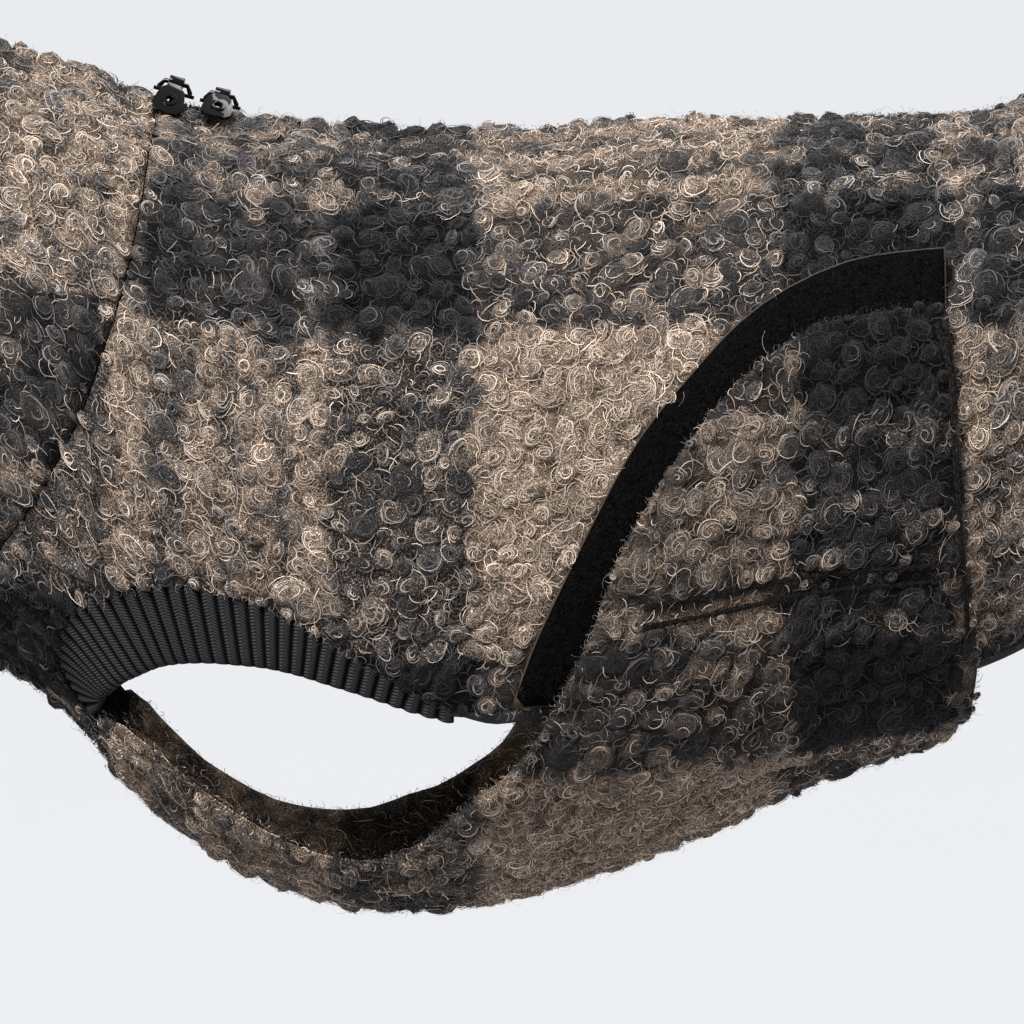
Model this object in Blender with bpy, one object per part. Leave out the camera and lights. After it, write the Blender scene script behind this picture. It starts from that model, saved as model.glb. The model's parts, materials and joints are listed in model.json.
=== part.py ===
"""Dog sweater of curly boucle wool, worn: collar, back, chest strap and belly panel with side flaps.

Every cloth piece is cut from one pattern that lies on a plain trunk form. A point of the pattern
is (along, turn): along runs from neck to rump in mm, and turn runs round the form, 0 at the centre
back, 1 at the centre of the belly and 2 at the centre back again. The near side, turn 0 to 1, is -Y.
Script units are mm; meshes are written in metres, +Z up, head towards -X. The origin lies on the
inside of the cloth at the withers.
"""
import math
from collections import namedtuple

import bmesh
import bpy
from mathutils import Matrix, Vector, geometry

MM = 0.001

# ---- driving sizes, mm ----
SEAM_GAP = 0.3        # between two pieces at a seam
LAYER_GAP = 0.4       # between two layers that lie on each other
FLAP_EASE = 0.3       # the flap isn't pulled tight over the tapes
CLOTH = 3.5           # boucle cloth to the tips of its curls
LOOP_TAPE = 1.0       # soft half of the hook-and-loop fastener
HOOK_TAPE = 1.0       # hook half, inside the flap
LOOP_WIDTH = 45.0
HOOK_WIDTH = 22.0
HOOK_INSET = 4.0      # from the flap's edge to the hook tape
TAPE_RISE = 2.0       # the loop tape ends this far above the hem
BINDING_HEIGHT = 4.0
BINDING_OUT = 2.6     # outer face of the hem binding
RIB_PITCH = 4.7
RIB_BASE = 1.6        # knit between two ribs
RIB_HEIGHT = 1.2
CHAIN_HALF = 1.7      # half width of the closed zip chain
ZIP_HALF_GAP = 2.0    # from the zip's centre to the cloth edge
TAPE_HALF = 10.0      # half width of the zip's tape
TAPE_THICK = 0.8
ZIP_START = -104.0
ZIP_END = 132.0
MESH_PITCH = 12.2     # spacing of mesh points on the large panels
STRIP_PITCH = 7.5     # spacing on tapes and binding
BACK_FINENESS = 0.4   # share of that spacing at the centre back
BACK_BAND = 34.0      # mm from the centre back over which it widens

# ---- the trunk form, the inside of the cloth ----
Station = namedtuple("Station", "along top under half_width")
STATIONS = tuple(Station(*row) for row in (
    (-170, 50.0, -66.0, 54),
    (-130, 38.0, -98.0, 58),
    (-95, 28.0, -128.0, 62),
    (-64, 20.0, -153.0, 66),
    (-45, 14.5, -164.0, 69),
    (-22, 7.0, -180.0, 73),
    (0, 0.0, -206.0, 77),
    (26, -6.5, -225.0, 80),
    (52, -9.5, -236.0, 83),
    (86, -11.0, -238.5, 85),
    (123, -10.5, -231.0, 85),
    (157, -9.0, -219.0, 83),
    (196, -9.0, -201.0, 79),
    (225, -8.0, -191.0, 77),
    (245, -7.0, -183.0, 76),
    (262, -3.5, -177.0, 76),
    (290, 1.0, -167.0, 77),
    (320, 2.5, -157.0, 77),
    (350, -1.0, -147.0, 75),
    (380, -8.0, -138.0, 70),
    (410, -19.0, -130.0, 62),
    (435, -32.0, -124.0, 52),
))
KEEL = 0.14           # how much narrower the form is under the belly
CREST = 0.30          # how much narrower it is along the back
RIDGE_DROP = 7.0      # how far the cloth falls beside the standing zip, at the first slider
RIDGE_HALF = 14.0     # where it falls furthest
RIDGE_REST = 0.5      # share of that drop along the rest of the zip

# ---- zip sliders and their pull tabs, mm ----
Slider = namedtuple("Slider", "along lean")     # place along the back; how far its tab hangs, degrees
SLIDERS = (Slider(6.3, 21.0), Slider(20.3, 9.0))
SLIDER_LIFT = 0.4     # its plate above the cloth
PLATE_LENGTH = 12.2
PLATE_HALF = 3.6
PLATE_THICK = 1.1
BAR_RADIUS = 0.75
BAR_HEIGHT = 2.3      # bar's centre above the plate
BAR_HALF = 3.4        # half length of the bar's straight stretch
BAR_FOOT = 4.7        # where its feet stand on the plate
EYE_RADIUS = 2.0      # outside of the tab's eye round the bar
EYE_BORE = 1.15
EYE_HALF = 2.2        # half width of the eye
TAB_THICK = 1.2
TAB_CRANK = 28.0      # degrees between the tab's neck and its paddle
CRANK_AT = 4.6        # from the bar to that bend
EYELET_AT = 9.8       # from the bar to the round eyelet in the paddle
EYELET_BORE = 1.2
EYELET_RIM = 2.3
RIM_HEIGHT = 0.4
TabRow = namedtuple("TabRow", "distance half_width")
TAB_ROWS = tuple(TabRow(*row) for row in (
    (1.4, 2.2), (CRANK_AT, 2.2), (5.4, 3.4), (8.5, 4.3), (12.0, 4.6), (13.6, 4.2), (14.6, 3.0)))

# ---- pattern edges of the near half; the far half mirrors them ----
Mark = namedtuple("Mark", "along turn")


def marks(*rows):
    return [Mark(*row) for row in rows]


COLLAR_SEAM = marks(
    (2, 0.0), (2.3, 0.2), (-1.3, 0.324), (-7.4, 0.415), (-14, 0.493),
    (-24.4, 0.585), (-37.1, 0.678), (-51, 0.80), (-61, 0.92), (-63.5, 1.0))
ARMHOLE = marks(
    (-13.5, 0.850), (-18.8, 0.838), (-22.8, 0.80), (-22.3, 0.765), (-19.2, 0.72), (-14, 0.677),
    (-5, 0.627), (6.4, 0.594), (20.5, 0.572), (32, 0.566), (43, 0.568), (54.3, 0.580),
    (65, 0.597), (78, 0.618), (91, 0.640))
CUFF_EDGE = marks(
    (-9.8, 0.785), (-4.8, 0.738), (0, 0.707), (8.6, 0.669), (20.1, 0.642), (34.4, 0.624),
    (45.7, 0.619), (56.8, 0.622), (68, 0.629), (79.2, 0.640), (91.5, 0.652))
HEM = marks(
    (91, 0.640), (104, 0.645), (117, 0.650), (157, 0.675), (196, 0.712), (225, 0.744),
    (242, 0.761), (255, 0.753), (276, 0.727), (303, 0.671), (330, 0.603), (357, 0.532),
    (380, 0.449), (396, 0.327), (408, 0.163), (411, 0.0))
STRAP_EDGE = marks(
    (-13, 0.852), (-9.5, 0.815), (-4, 0.790), (5, 0.784), (21.4, 0.799), (35, 0.811),
    (50, 0.819), (64.3, 0.819), (75.5, 0.802), (84.2, 0.776), (95.5, 0.731), (104.5, 0.703),
    (111.5, 0.678))
FLAP_EDGE = marks(
    (111.5, 0.678), (116.5, 0.655), (123.5, 0.617), (129.1, 0.587), (137.4, 0.527),
    (148.6, 0.479), (162.5, 0.431), (179.3, 0.390), (196.6, 0.367), (210.7, 0.364), (228, 0.366))
FLAP_REAR = marks(
    (231, 0.375), (232.6, 0.453), (234.6, 0.548), (237.4, 0.653), (239.8, 0.748), (240, 0.82),
    (238, 1.0))
LOOP_EDGE = marks(
    (107.3, 0.640), (112.8, 0.594), (121.2, 0.545), (132.3, 0.487), (143.5, 0.437),
    (157.5, 0.393), (171.6, 0.352), (186, 0.323), (203.2, 0.302), (217.5, 0.297), (231.7, 0.298))
# The strap hangs a little twisted: (mm along, turn by which its far edge lies nearer the belly's centre).
FAR_TUCK = ((-13, 0.0), (-4, 0.022), (5, 0.037), (10.5, 0.040), (21, 0.033), (35, 0.021), (50, 0.001),
            (64, -0.011), (75.5, -0.014), (84, 0.003), (95.5, 0.026), (104.5, 0.031), (111.5, 0.020),
            (121, 0.0))
CHEST_NOTCH = -13.0   # where the strap is sewn to the chest
COLLAR_TOP = -106.0   # the collar's opening at the centre back
COLLAR_SLANT = 44.0   # how much further forward it reaches at the throat


def clear_scene():
    for thing in list(bpy.data.objects):
        bpy.data.objects.remove(thing, do_unlink=True)


def material(name, colour, roughness, metallic=0.0):
    made = bpy.data.materials.new(name)
    made.use_nodes = True
    shader = made.node_tree.nodes["Principled BSDF"]
    shader.inputs["Base Color"].default_value = (*colour, 1.0)
    shader.inputs["Roughness"].default_value = roughness
    shader.inputs["Metallic"].default_value = metallic
    made.diffuse_color = (*colour, 1.0)
    return made


def smooth_step(low, high, value):
    share = min(1.0, max(0.0, (value - low) / (high - low)))
    return share * share * (3.0 - 2.0 * share)


# ---- the form as a surface ----

def hermite(xs, ys, x):
    """Smooth curve through (xs, ys), its slope at each point the weighted mean of its neighbours'."""
    count = len(xs)
    rise = [(ys[i + 1] - ys[i]) / (xs[i + 1] - xs[i]) for i in range(count - 1)]

    def slope(i):
        if i == 0 or i == count - 1:
            return rise[min(i, count - 2)]
        before, after = xs[i] - xs[i - 1], xs[i + 1] - xs[i]
        return (rise[i - 1] * after + rise[i] * before) / (before + after)

    if x <= xs[0]:
        return ys[0] + slope(0) * (x - xs[0])
    if x >= xs[-1]:
        return ys[-1] + slope(count - 1) * (x - xs[-1])
    i = max(k for k in range(count - 1) if xs[k] <= x)
    step = xs[i + 1] - xs[i]
    u = (x - xs[i]) / step
    return ((2 * u**3 - 3 * u**2 + 1) * ys[i] + (u**3 - 2 * u**2 + u) * step * slope(i)
            + (3 * u**2 - 2 * u**3) * ys[i + 1] + (u**3 - u**2) * step * slope(i + 1))


def station(along):
    xs = [row.along for row in STATIONS]
    columns = ([row.top for row in STATIONS], [row.under for row in STATIONS],
               [row.half_width for row in STATIONS])
    return [hermite(xs, ys, along) for ys in columns]


def form(along, turn):
    """Point of the trunk form, in mm."""
    top, under, half_width = station(along)
    angle = math.pi * turn
    upper = (1.0 + math.cos(angle)) / 2.0
    width = half_width * math.sin(angle) * (1.0 - KEEL * (1.0 - upper)) * (1.0 - CREST * upper**3)
    aside = (width / RIDGE_HALF) ** 2
    first = SLIDERS[0].along
    stands = RIDGE_REST + (1.0 - RIDGE_REST) * (1.0 - smooth_step(6.0, 26.0, abs(along - first)))
    stands *= 1.0 - smooth_step(ZIP_END - 30.0, ZIP_END + 40.0, along)
    drop = RIDGE_DROP * stands * aside * math.exp(1.0 - aside) * smooth_step(0.45, 0.8, upper)
    height = (top + under) / 2.0 + (top - under) / 2.0 * math.cos(angle)
    return Vector((along, -width, height - drop))


def outward(along, turn):
    near = 0.4
    around = form(along, turn + 0.002) - form(along, turn - 0.002)
    lengthwise = form(along + near, turn) - form(along - near, turn)
    return around.cross(lengthwise).normalized()


def on_cloth(along, turn, out):
    return form(along, turn) + outward(along, turn) * out


def girth(along, turn):
    """mm of cloth for one unit of turn."""
    return (form(along, turn + 0.01) - form(along, turn - 0.01)).length / 0.02


# ---- pattern curves ----

def spline(rows, step=8.0):
    """Catmull-Rom curve through pattern marks, a point about every step mm."""
    ends = [rows[0]] + list(rows) + [rows[-1]]
    found = []
    for a, b, c, d in zip(ends, ends[1:], ends[2:], ends[3:]):
        length = math.hypot(c[0] - b[0], (c[1] - b[1]) * girth(b[0], b[1]))
        count = max(1, round(length / step))
        for i in range(count):
            u = i / count
            found.append(tuple(
                0.5 * (2 * b[k] + (c[k] - a[k]) * u + (2 * a[k] - 5 * b[k] + 4 * c[k] - d[k]) * u * u
                       + (3 * b[k] - a[k] - 3 * c[k] + d[k]) * u**3) for k in (0, 1)))
    found.append(tuple(rows[-1]))
    return found


def straight(start, end, step):
    length = math.hypot(end[0] - start[0], (end[1] - start[1]) * girth(*start))
    count = max(1, round(length / step))
    return [(start[0] + (end[0] - start[0]) * i / count, start[1] + (end[1] - start[1]) * i / count)
            for i in range(count + 1)]


def mirrored(points):
    return [(along, 2.0 - turn) for along, turn in reversed(points)]


def beside(points, distance):
    """The curve moved sideways by distance mm in the pattern, to the left of its run."""
    moved = []
    for i, (along, turn) in enumerate(points):
        before, after = points[max(i - 1, 0)], points[min(i + 1, len(points) - 1)]
        scale = girth(along, turn)
        run = Vector((after[0] - before[0], (after[1] - before[1]) * scale)).normalized()
        moved.append((along - run.y * distance, turn + run.x * distance / scale))
    return moved


def inset(outline, distance):
    """A closed outline drawn in by distance mm on every side."""
    count = len(outline)
    scale = [girth(*point) for point in outline]
    area = sum(a[0] * b[1] - b[0] * a[1] for a, b in zip(outline, outline[1:] + outline[:1]))
    side = 1.0 if area > 0 else -1.0
    drawn = []
    for i, (along, turn) in enumerate(outline):
        runs = []
        for j, k in ((i - 1, i), (i, (i + 1) % count)):
            runs.append(Vector((outline[k][0] - outline[j][0],
                                (outline[k][1] - outline[j][1]) * scale[i])).normalized())
        normals = [Vector((-run.y, run.x)) * side for run in runs]
        middle = (normals[0] + normals[1]).normalized()
        reach = distance / max(0.35, middle.dot(normals[0]))
        drawn.append((along + middle.x * reach, turn + middle.y * reach / scale[i]))
    return drawn


def tidy(outline, closest=1.0):
    """Drop outline points that lie closer than this to the one before."""
    kept = []
    for point in outline:
        if not kept or math.hypot(point[0] - kept[-1][0], (point[1] - kept[-1][1]) * 300) > closest:
            kept.append(point)
    while math.hypot(kept[0][0] - kept[-1][0], (kept[0][1] - kept[-1][1]) * 300) < closest:
        kept.pop()
    return kept


# ---- cloth walls ----

def inside(point, polygon):
    crossings = False
    for a, b in zip(polygon, polygon[1:] + polygon[:1]):
        if (a.y > point.y) != (b.y > point.y):
            if point.x < a.x + (b.x - a.x) * (point.y - a.y) / (b.y - a.y):
                crossings = not crossings
    return crossings


def clearance(point, polygon):
    nearest = 1e9
    for a, b in zip(polygon, polygon[1:] + polygon[:1]):
        found, _ = geometry.intersect_point_line(point, a, b)
        share = (found.to_2d() - a).dot(b - a) / (b - a).length_squared
        foot = a + (b - a) * min(1.0, max(0.0, share))
        nearest = min(nearest, (foot - point).length)
    return nearest


def row_places(low, high, centre, pitch):
    """Places of mesh rows round the form: close together beside the centre back, where it bends most."""
    places = []
    place = low
    while place < high:
        from_back = min(place, 2.0 * centre - place)
        step = pitch * (BACK_FINENESS + (1.0 - BACK_FINENESS) * smooth_step(0.0, BACK_BAND, from_back))
        places.append((place, step))
        place += step * math.sqrt(0.75)
    return places


def triangulated(outline, pitch):
    """Even triangles inside a pattern outline: pattern points and faces."""
    scale = sum(girth(*point) for point in outline) / len(outline)
    polygon = [Vector((along, turn * scale)) for along, turn in outline]
    low = Vector((min(p.x for p in polygon), min(p.y for p in polygon)))
    high = Vector((max(p.x for p in polygon), max(p.y for p in polygon)))
    points = list(polygon)
    for row, (place, step) in enumerate(row_places(low.y, high.y, scale, pitch)):
        for column in range(int((high.x - low.x) / pitch) + 2):
            spot = Vector((low.x + (column + 0.5 * (row % 2)) * pitch, place))
            if inside(spot, polygon) and clearance(spot, polygon) > 0.55 * step:
                points.append(spot)
    edges = [(i, (i + 1) % len(polygon)) for i in range(len(polygon))]
    flat, _, faces, *_ = geometry.delaunay_2d_cdt(points, edges, [], 1, 1e-4)
    return [(p.x, p.y / scale) for p in flat], faces


def add_object(name, mesh_data, finish):
    mesh = bpy.data.meshes.new(name)
    mesh_data.to_mesh(mesh)
    mesh_data.free()
    mesh.materials.append(finish)
    thing = bpy.data.objects.new(name, mesh)
    bpy.context.collection.objects.link(thing)
    mesh.shade_smooth()
    mesh.set_sharp_from_angle(angle=math.radians(50))
    return thing


def closed_wall(name, spots, faces, inner, outer, finish):
    """A wall over pattern faces, from inner to outer mm off the form; either may depend on the spot."""
    body = bmesh.new()
    walls = []
    for depth in (inner, outer):
        walls.append([body.verts.new(on_cloth(*spot, depth(spot) if callable(depth) else depth) * MM)
                      for spot in spots])
    under, over = walls
    used = {}
    for face in faces:
        body.faces.new([over[i] for i in reversed(face)])
        body.faces.new([under[i] for i in face])
        for a, b in zip(face, face[1:] + face[:1]):
            used.setdefault(frozenset((a, b)), []).append((a, b))
    for sides in used.values():
        if len(sides) == 1:
            a, b = sides[0]
            body.faces.new([under[b], under[a], over[a], over[b]])
    bmesh.ops.recalc_face_normals(body, faces=body.faces)
    loose = [v for v in body.verts if not v.link_faces]
    bmesh.ops.delete(body, geom=loose, context="VERTS")
    return add_object(name, body, finish)


def cut(name, outline, inner, outer, finish, pitch=MESH_PITCH):
    """One cloth piece from its pattern outline, half a seam gap inside it."""
    spots, faces = triangulated(inset(tidy(outline), SEAM_GAP / 2.0), pitch)
    return closed_wall(name, spots, [list(face) for face in faces], inner, outer, finish)


def far_side(near, name, finish):
    """The same piece on the far side of the garment."""
    mesh = near.data.copy()
    mesh.transform(Matrix.Diagonal((1.0, -1.0, 1.0, 1.0)))
    mesh.flip_normals()
    mesh.materials.clear()
    mesh.materials.append(finish)
    thing = bpy.data.objects.new(name, mesh)
    bpy.context.collection.objects.link(thing)
    return thing


# ---- pieces ----

def back_edge(start, end, step):
    """Centre-back edge of a near piece: it makes room for the zip, then closes to the seam."""
    count = max(2, round((end - start) / step))
    found = []
    for i in range(count + 1):
        along = start + (end - start) * i / count
        room = ZIP_HALF_GAP * (1.0 - smooth_step(ZIP_END + 1.0, ZIP_END + 12.0, along))
        found.append((along, room / girth(along, 0.0)))
    return found


def collar_opening(step):
    count = round(200.0 / step)
    start = ZIP_HALF_GAP / girth(COLLAR_TOP, 0.0)
    turns = [start + (1.0 - start) * i / count for i in range(count + 1)]
    return [(COLLAR_TOP - COLLAR_SLANT * (0.5 - 0.5 * math.cos(math.pi * turn)), turn) for turn in turns]


def make_collar(finish):
    top = back_edge(COLLAR_TOP, COLLAR_SEAM[0].along, MESH_PITCH)
    seam = spline(COLLAR_SEAM, MESH_PITCH)
    seam[0] = top[-1]
    near = top + seam[1:]
    front = collar_opening(MESH_PITCH)
    outline = near + mirrored(near)[1:] + [(a, 2.0 - t) for a, t in front][1:] + list(reversed(front))[1:-1]
    return cut("collar", outline, 0.0, CLOTH, finish)


def body_outline():
    top = back_edge(COLLAR_SEAM[0].along, HEM[-1].along, MESH_PITCH)
    hem = list(reversed(spline(HEM, MESH_PITCH)))
    armhole = list(reversed(spline(ARMHOLE, 6.0)))
    chest_end = straight((CHEST_NOTCH, ARMHOLE[0].turn), (CHEST_NOTCH, 1.0), MESH_PITCH)
    centre_front = straight((CHEST_NOTCH, 1.0), COLLAR_SEAM[-1], MESH_PITCH)
    seam = list(reversed(spline(COLLAR_SEAM, MESH_PITCH)))
    seam[-1] = top[0]
    return top + hem[1:] + armhole[1:] + chest_end + centre_front[1:] + seam[1:-1]


def hem_turn(along):
    """Where the hem runs under the flap."""
    covered = [row for row in HEM if row.along <= 276]
    return hermite([row.along for row in covered], [row.turn for row in covered], max(along, HEM[0].along))


def above_hem(points, rise):
    """The curve kept at least rise mm above the hem."""
    return [(along, min(turn, hem_turn(along) - rise / girth(along, turn))) for along, turn in points]


def lap(spot):
    """How far the belly panel stands off the form: it passes outside the hem, tapes and cloth."""
    along, turn = spot
    turn = min(turn, 2.0 - turn)
    full = CLOTH + LOOP_TAPE + HOOK_TAPE + 3 * LAYER_GAP + FLAP_EASE
    return full * (1.0 - smooth_step(hem_turn(along) + 0.02, hem_turn(along) + 0.13, turn))


def make_belly_panel(finish):
    edge = spline(STRAP_EDGE, 8.0) + spline(FLAP_EDGE, MESH_PITCH)[1:] + spline(FLAP_REAR, MESH_PITCH)
    far = []
    for along, turn in mirrored(edge):
        held = min(max(along, FAR_TUCK[0][0]), FAR_TUCK[-1][0])
        far.append((along, turn - hermite([row[0] for row in FAR_TUCK], [row[1] for row in FAR_TUCK], held)))
    outline = edge + far[1:]
    outline += straight(outline[-1], outline[0], MESH_PITCH)[1:-1]
    return cut("belly_panel", outline, lap, lambda spot: lap(spot) + CLOTH, finish)


def make_loop_tape(finish):
    front = above_hem(spline(LOOP_EDGE, STRIP_PITCH), TAPE_RISE)
    back = above_hem(beside(front, LOOP_WIDTH), TAPE_RISE)
    low_end = above_hem(straight(back[0], front[0], STRIP_PITCH), TAPE_RISE)
    outline = front + straight(front[-1], back[-1], STRIP_PITCH)[1:] + list(reversed(back))[1:]
    outline += low_end[1:-1]
    low = CLOTH + LAYER_GAP
    return cut("loop_tape_left", outline, low, low + LOOP_TAPE, finish, STRIP_PITCH)


def make_hook_tape(finish):
    run = spline(FLAP_EDGE[3:], STRIP_PITCH)
    front = beside(run, HOOK_INSET)
    back = beside(run, HOOK_INSET + HOOK_WIDTH)
    outline = front + straight(front[-1], back[-1], STRIP_PITCH)[1:] + list(reversed(back))[1:]
    outline += straight(back[0], front[0], STRIP_PITCH)[1:-1]
    low = CLOTH + LOOP_TAPE + 2 * LAYER_GAP
    return cut("hook_tape_left", outline, low, low + HOOK_TAPE, finish, STRIP_PITCH)


def make_binding(finish):
    near = spline(HEM[1:], STRIP_PITCH)
    near = [(92.5, 0.6415)] + near
    below = beside(near, BINDING_HEIGHT)
    edge = near + [(along, -turn) for along, turn in reversed(near)][1:]
    low_edge = below[:-1] + [(HEM[-1].along + BINDING_HEIGHT, 0.0)]
    low_edge += [(along, -turn) for along, turn in reversed(low_edge)][1:]
    return cut("hem_binding", edge + list(reversed(low_edge)), 0.2, BINDING_OUT, finish, STRIP_PITCH)


def resampled(points, count):
    """The same curve as count + 1 points spaced evenly on the cloth."""
    places = [on_cloth(*point, 1.0) for point in points]
    runs = [0.0]
    for a, b in zip(places, places[1:]):
        runs.append(runs[-1] + (b - a).length)
    even = []
    for i in range(count + 1):
        wanted = runs[-1] * i / count
        k = max(j for j in range(len(runs) - 1) if runs[j] <= wanted + 1e-9)
        share = (wanted - runs[k]) / (runs[k + 1] - runs[k])
        even.append(tuple(points[k][n] + (points[k + 1][n] - points[k][n]) * share for n in (0, 1)))
    return even, runs[-1]


def make_cuff(finish):
    """The rib-knit edge of the leg opening: a band with a rounded rib every RIB_PITCH."""
    sewn = beside(spline(ARMHOLE, 3.0), SEAM_GAP)
    free = spline(CUFF_EDGE, 3.0)
    _, length = resampled(sewn, 10)
    steps_a_rib = 4
    count = round(length / RIB_PITCH) * steps_a_rib
    upper, _ = resampled(sewn, count)
    lower, _ = resampled(free, count)
    rows = 2
    body = bmesh.new()
    grids = []
    for raised in (False, True):
        grid = []
        for i in range(count + 1):
            rib = RIB_HEIGHT * (0.5 - 0.5 * math.cos(2.0 * math.pi * i / steps_a_rib))
            line = []
            for j in range(rows + 1):
                share = j / rows
                spot = [upper[i][n] + (lower[i][n] - upper[i][n]) * share for n in (0, 1)]
                line.append(body.verts.new(on_cloth(*spot, RIB_BASE + rib if raised else 0.0) * MM))
            grid.append(line)
        grids.append(grid)
    under, over = grids
    for i in range(count):
        for j in range(rows):
            body.faces.new((over[i][j], over[i + 1][j], over[i + 1][j + 1], over[i][j + 1]))
            body.faces.new((under[i][j], under[i][j + 1], under[i + 1][j + 1], under[i + 1][j]))
        for j in (0, rows):
            body.faces.new((under[i][j], under[i + 1][j], over[i + 1][j], over[i][j]))
    for i in (0, count):
        for j in range(rows):
            body.faces.new((under[i][j], under[i][j + 1], over[i][j + 1], over[i][j]))
    bmesh.ops.recalc_face_normals(body, faces=body.faces)
    return add_object("cuff_left", body, finish)


def make_zip(finish):
    """Closed chain on its tape: a T-shaped section drawn along the centre back."""
    chain_out = CLOTH + 0.1
    below = -2.0 * SEAM_GAP
    tape_low = below - TAPE_THICK
    count = round((ZIP_END - ZIP_START) / 8.0)
    body = bmesh.new()
    rings = []
    for i in range(count + 1):
        along = ZIP_START + (ZIP_END - ZIP_START) * i / count
        unit = girth(along, 0.0)
        spans = (TAPE_HALF, TAPE_HALF / 2, CHAIN_HALF)
        left = [(-across, below) for across in spans] + [(-CHAIN_HALF, chain_out)]
        upper = left + [(-across, out) for across, out in reversed(left)]
        lower = [(across, tape_low) for across in spans] + [(-across, tape_low) for across in reversed(spans)]
        ring = [body.verts.new(on_cloth(along, across / unit, out) * MM) for across, out in upper + lower]
        rings.append(ring)
    size = len(rings[0])
    for a, b in zip(rings, rings[1:]):
        for k in range(size):
            body.faces.new((a[k], a[(k + 1) % size], b[(k + 1) % size], b[k]))
    body.faces.new(rings[0])
    body.faces.new(rings[-1])
    bmesh.ops.recalc_face_normals(body, faces=body.faces)
    return add_object("zip_chain", body, finish)


# ---- zip sliders ----

def seated(along, out):
    """Frame on the centre back: X along the zip towards the rump, Z outward."""
    up = outward(along, 0.0)
    run = (form(along + 0.5, 0.0) - form(along - 0.5, 0.0)).normalized()
    across = up.cross(run).normalized()
    frame = Matrix((run, across, run.cross(across))).transposed().to_4x4()
    frame.translation = on_cloth(along, 0.0, out) * MM
    return frame


def add_loft(name, rings, finish):
    """Closed body through rings of points given in mm."""
    body = bmesh.new()
    made = [[body.verts.new(Vector(point) * MM) for point in ring] for ring in rings]
    size = len(made[0])
    for a, b in zip(made, made[1:]):
        for k in range(size):
            body.faces.new((a[k], a[(k + 1) % size], b[(k + 1) % size], b[k]))
    body.faces.new(made[0])
    body.faces.new(made[-1])
    bmesh.ops.recalc_face_normals(body, faces=body.faces)
    return add_object(name, body, finish)


def add_rod(name, start, end, radius, finish, sides=20):
    """Round rod between two points in mm."""
    axis = (Vector(end) - Vector(start)).normalized()
    first = axis.orthogonal().normalized()
    second = axis.cross(first)
    turns = [2.0 * math.pi * k / sides for k in range(sides)]
    ring = [(first * math.cos(t) + second * math.sin(t)) * radius for t in turns]
    return add_loft(name, [[Vector(place) + spoke for spoke in ring] for place in (start, end)], finish)


def combine(thing, other, operation):
    step = thing.modifiers.new(other.name, "BOOLEAN")
    step.operation = operation
    step.solver = "EXACT"
    step.object = other
    other.hide_render = True
    other.display_type = "WIRE"
    other.parent = thing


def make_slider(name, along, finish):
    """Plate over the chain, with an arched bar that carries the tab."""
    half = PLATE_LENGTH / 2.0
    outline = [(-half, 1.6), (-half + 1.2, 3.0), (-half + 3.4, PLATE_HALF), (half - 3.6, PLATE_HALF - 0.5),
               (half - 1.0, 2.6), (half, 1.4)]
    outline += [(x, -y) for x, y in reversed(outline)]
    rings = [[(x, y, z) for x, y in outline] for z in (-PLATE_THICK, 0.0)]
    plate = add_loft(name, rings, finish)
    path = [(-BAR_FOOT, -0.5), (-BAR_FOOT, 0.4), (-BAR_HALF, BAR_HEIGHT), (BAR_HALF, BAR_HEIGHT),
            (BAR_FOOT, 0.4), (BAR_FOOT, -0.5)]
    rings = []
    for i, (x, z) in enumerate(path):
        before, after = path[max(i - 1, 0)], path[min(i + 1, len(path) - 1)]
        run = Vector((after[0] - before[0], 0.0, after[1] - before[1])).normalized()
        side = Vector((0.0, 1.0, 0.0))
        normal = run.cross(side)
        turns = [2.0 * math.pi * k / 10 for k in range(10)]
        rings.append([Vector((x, 0.0, z)) + (side * math.cos(t) + normal * math.sin(t)) * BAR_RADIUS
                      for t in turns])
    combine(plate, add_loft(name + "_bar", rings, finish), "UNION")
    plate.matrix_world = seated(along, CLOTH + SLIDER_LIFT + PLATE_THICK)
    return plate


def make_tab(name, along, lean, finish):
    """Cranked pull tab: an eye round the slider's bar, a neck, and a paddle with a rimmed eyelet."""
    def spot(distance, side, lift):
        first, second = math.radians(lean), math.radians(lean + TAB_CRANK)
        neck = min(distance, CRANK_AT)
        paddle = max(0.0, distance - CRANK_AT)
        tilt = first if distance < CRANK_AT else second if paddle > 0 else (first + second) / 2.0
        y = -neck * math.cos(first) - paddle * math.cos(second) - lift * math.sin(tilt)
        z = -neck * math.sin(first) - paddle * math.sin(second) + lift * math.cos(tilt)
        return (side, y, z)

    half = TAB_THICK / 2.0
    rings = [[spot(row.distance, row.half_width, half), spot(row.distance, -row.half_width, half),
              spot(row.distance, -row.half_width, -half), spot(row.distance, row.half_width, -half)]
             for row in TAB_ROWS]
    tab = add_loft(name, rings, finish)
    combine(tab, add_rod(name + "_eye", (-EYE_HALF, 0, 0), (EYE_HALF, 0, 0), EYE_RADIUS, finish), "UNION")
    rim_top = spot(EYELET_AT, 0, half + RIM_HEIGHT)
    rim = add_rod(name + "_rim", spot(EYELET_AT, 0, 0), rim_top, EYELET_RIM, finish)
    combine(tab, rim, "UNION")
    bore = add_rod(name + "_bore", (-2 * EYE_HALF, 0, 0), (2 * EYE_HALF, 0, 0), EYE_BORE, finish)
    combine(tab, bore, "DIFFERENCE")
    eyelet = add_rod(name + "_eyelet", spot(EYELET_AT, 0, -3), spot(EYELET_AT, 0, 3), EYELET_BORE, finish)
    combine(tab, eyelet, "DIFFERENCE")
    tab.matrix_world = seated(along, CLOTH + SLIDER_LIFT + PLATE_THICK + BAR_HEIGHT)
    return tab


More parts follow.
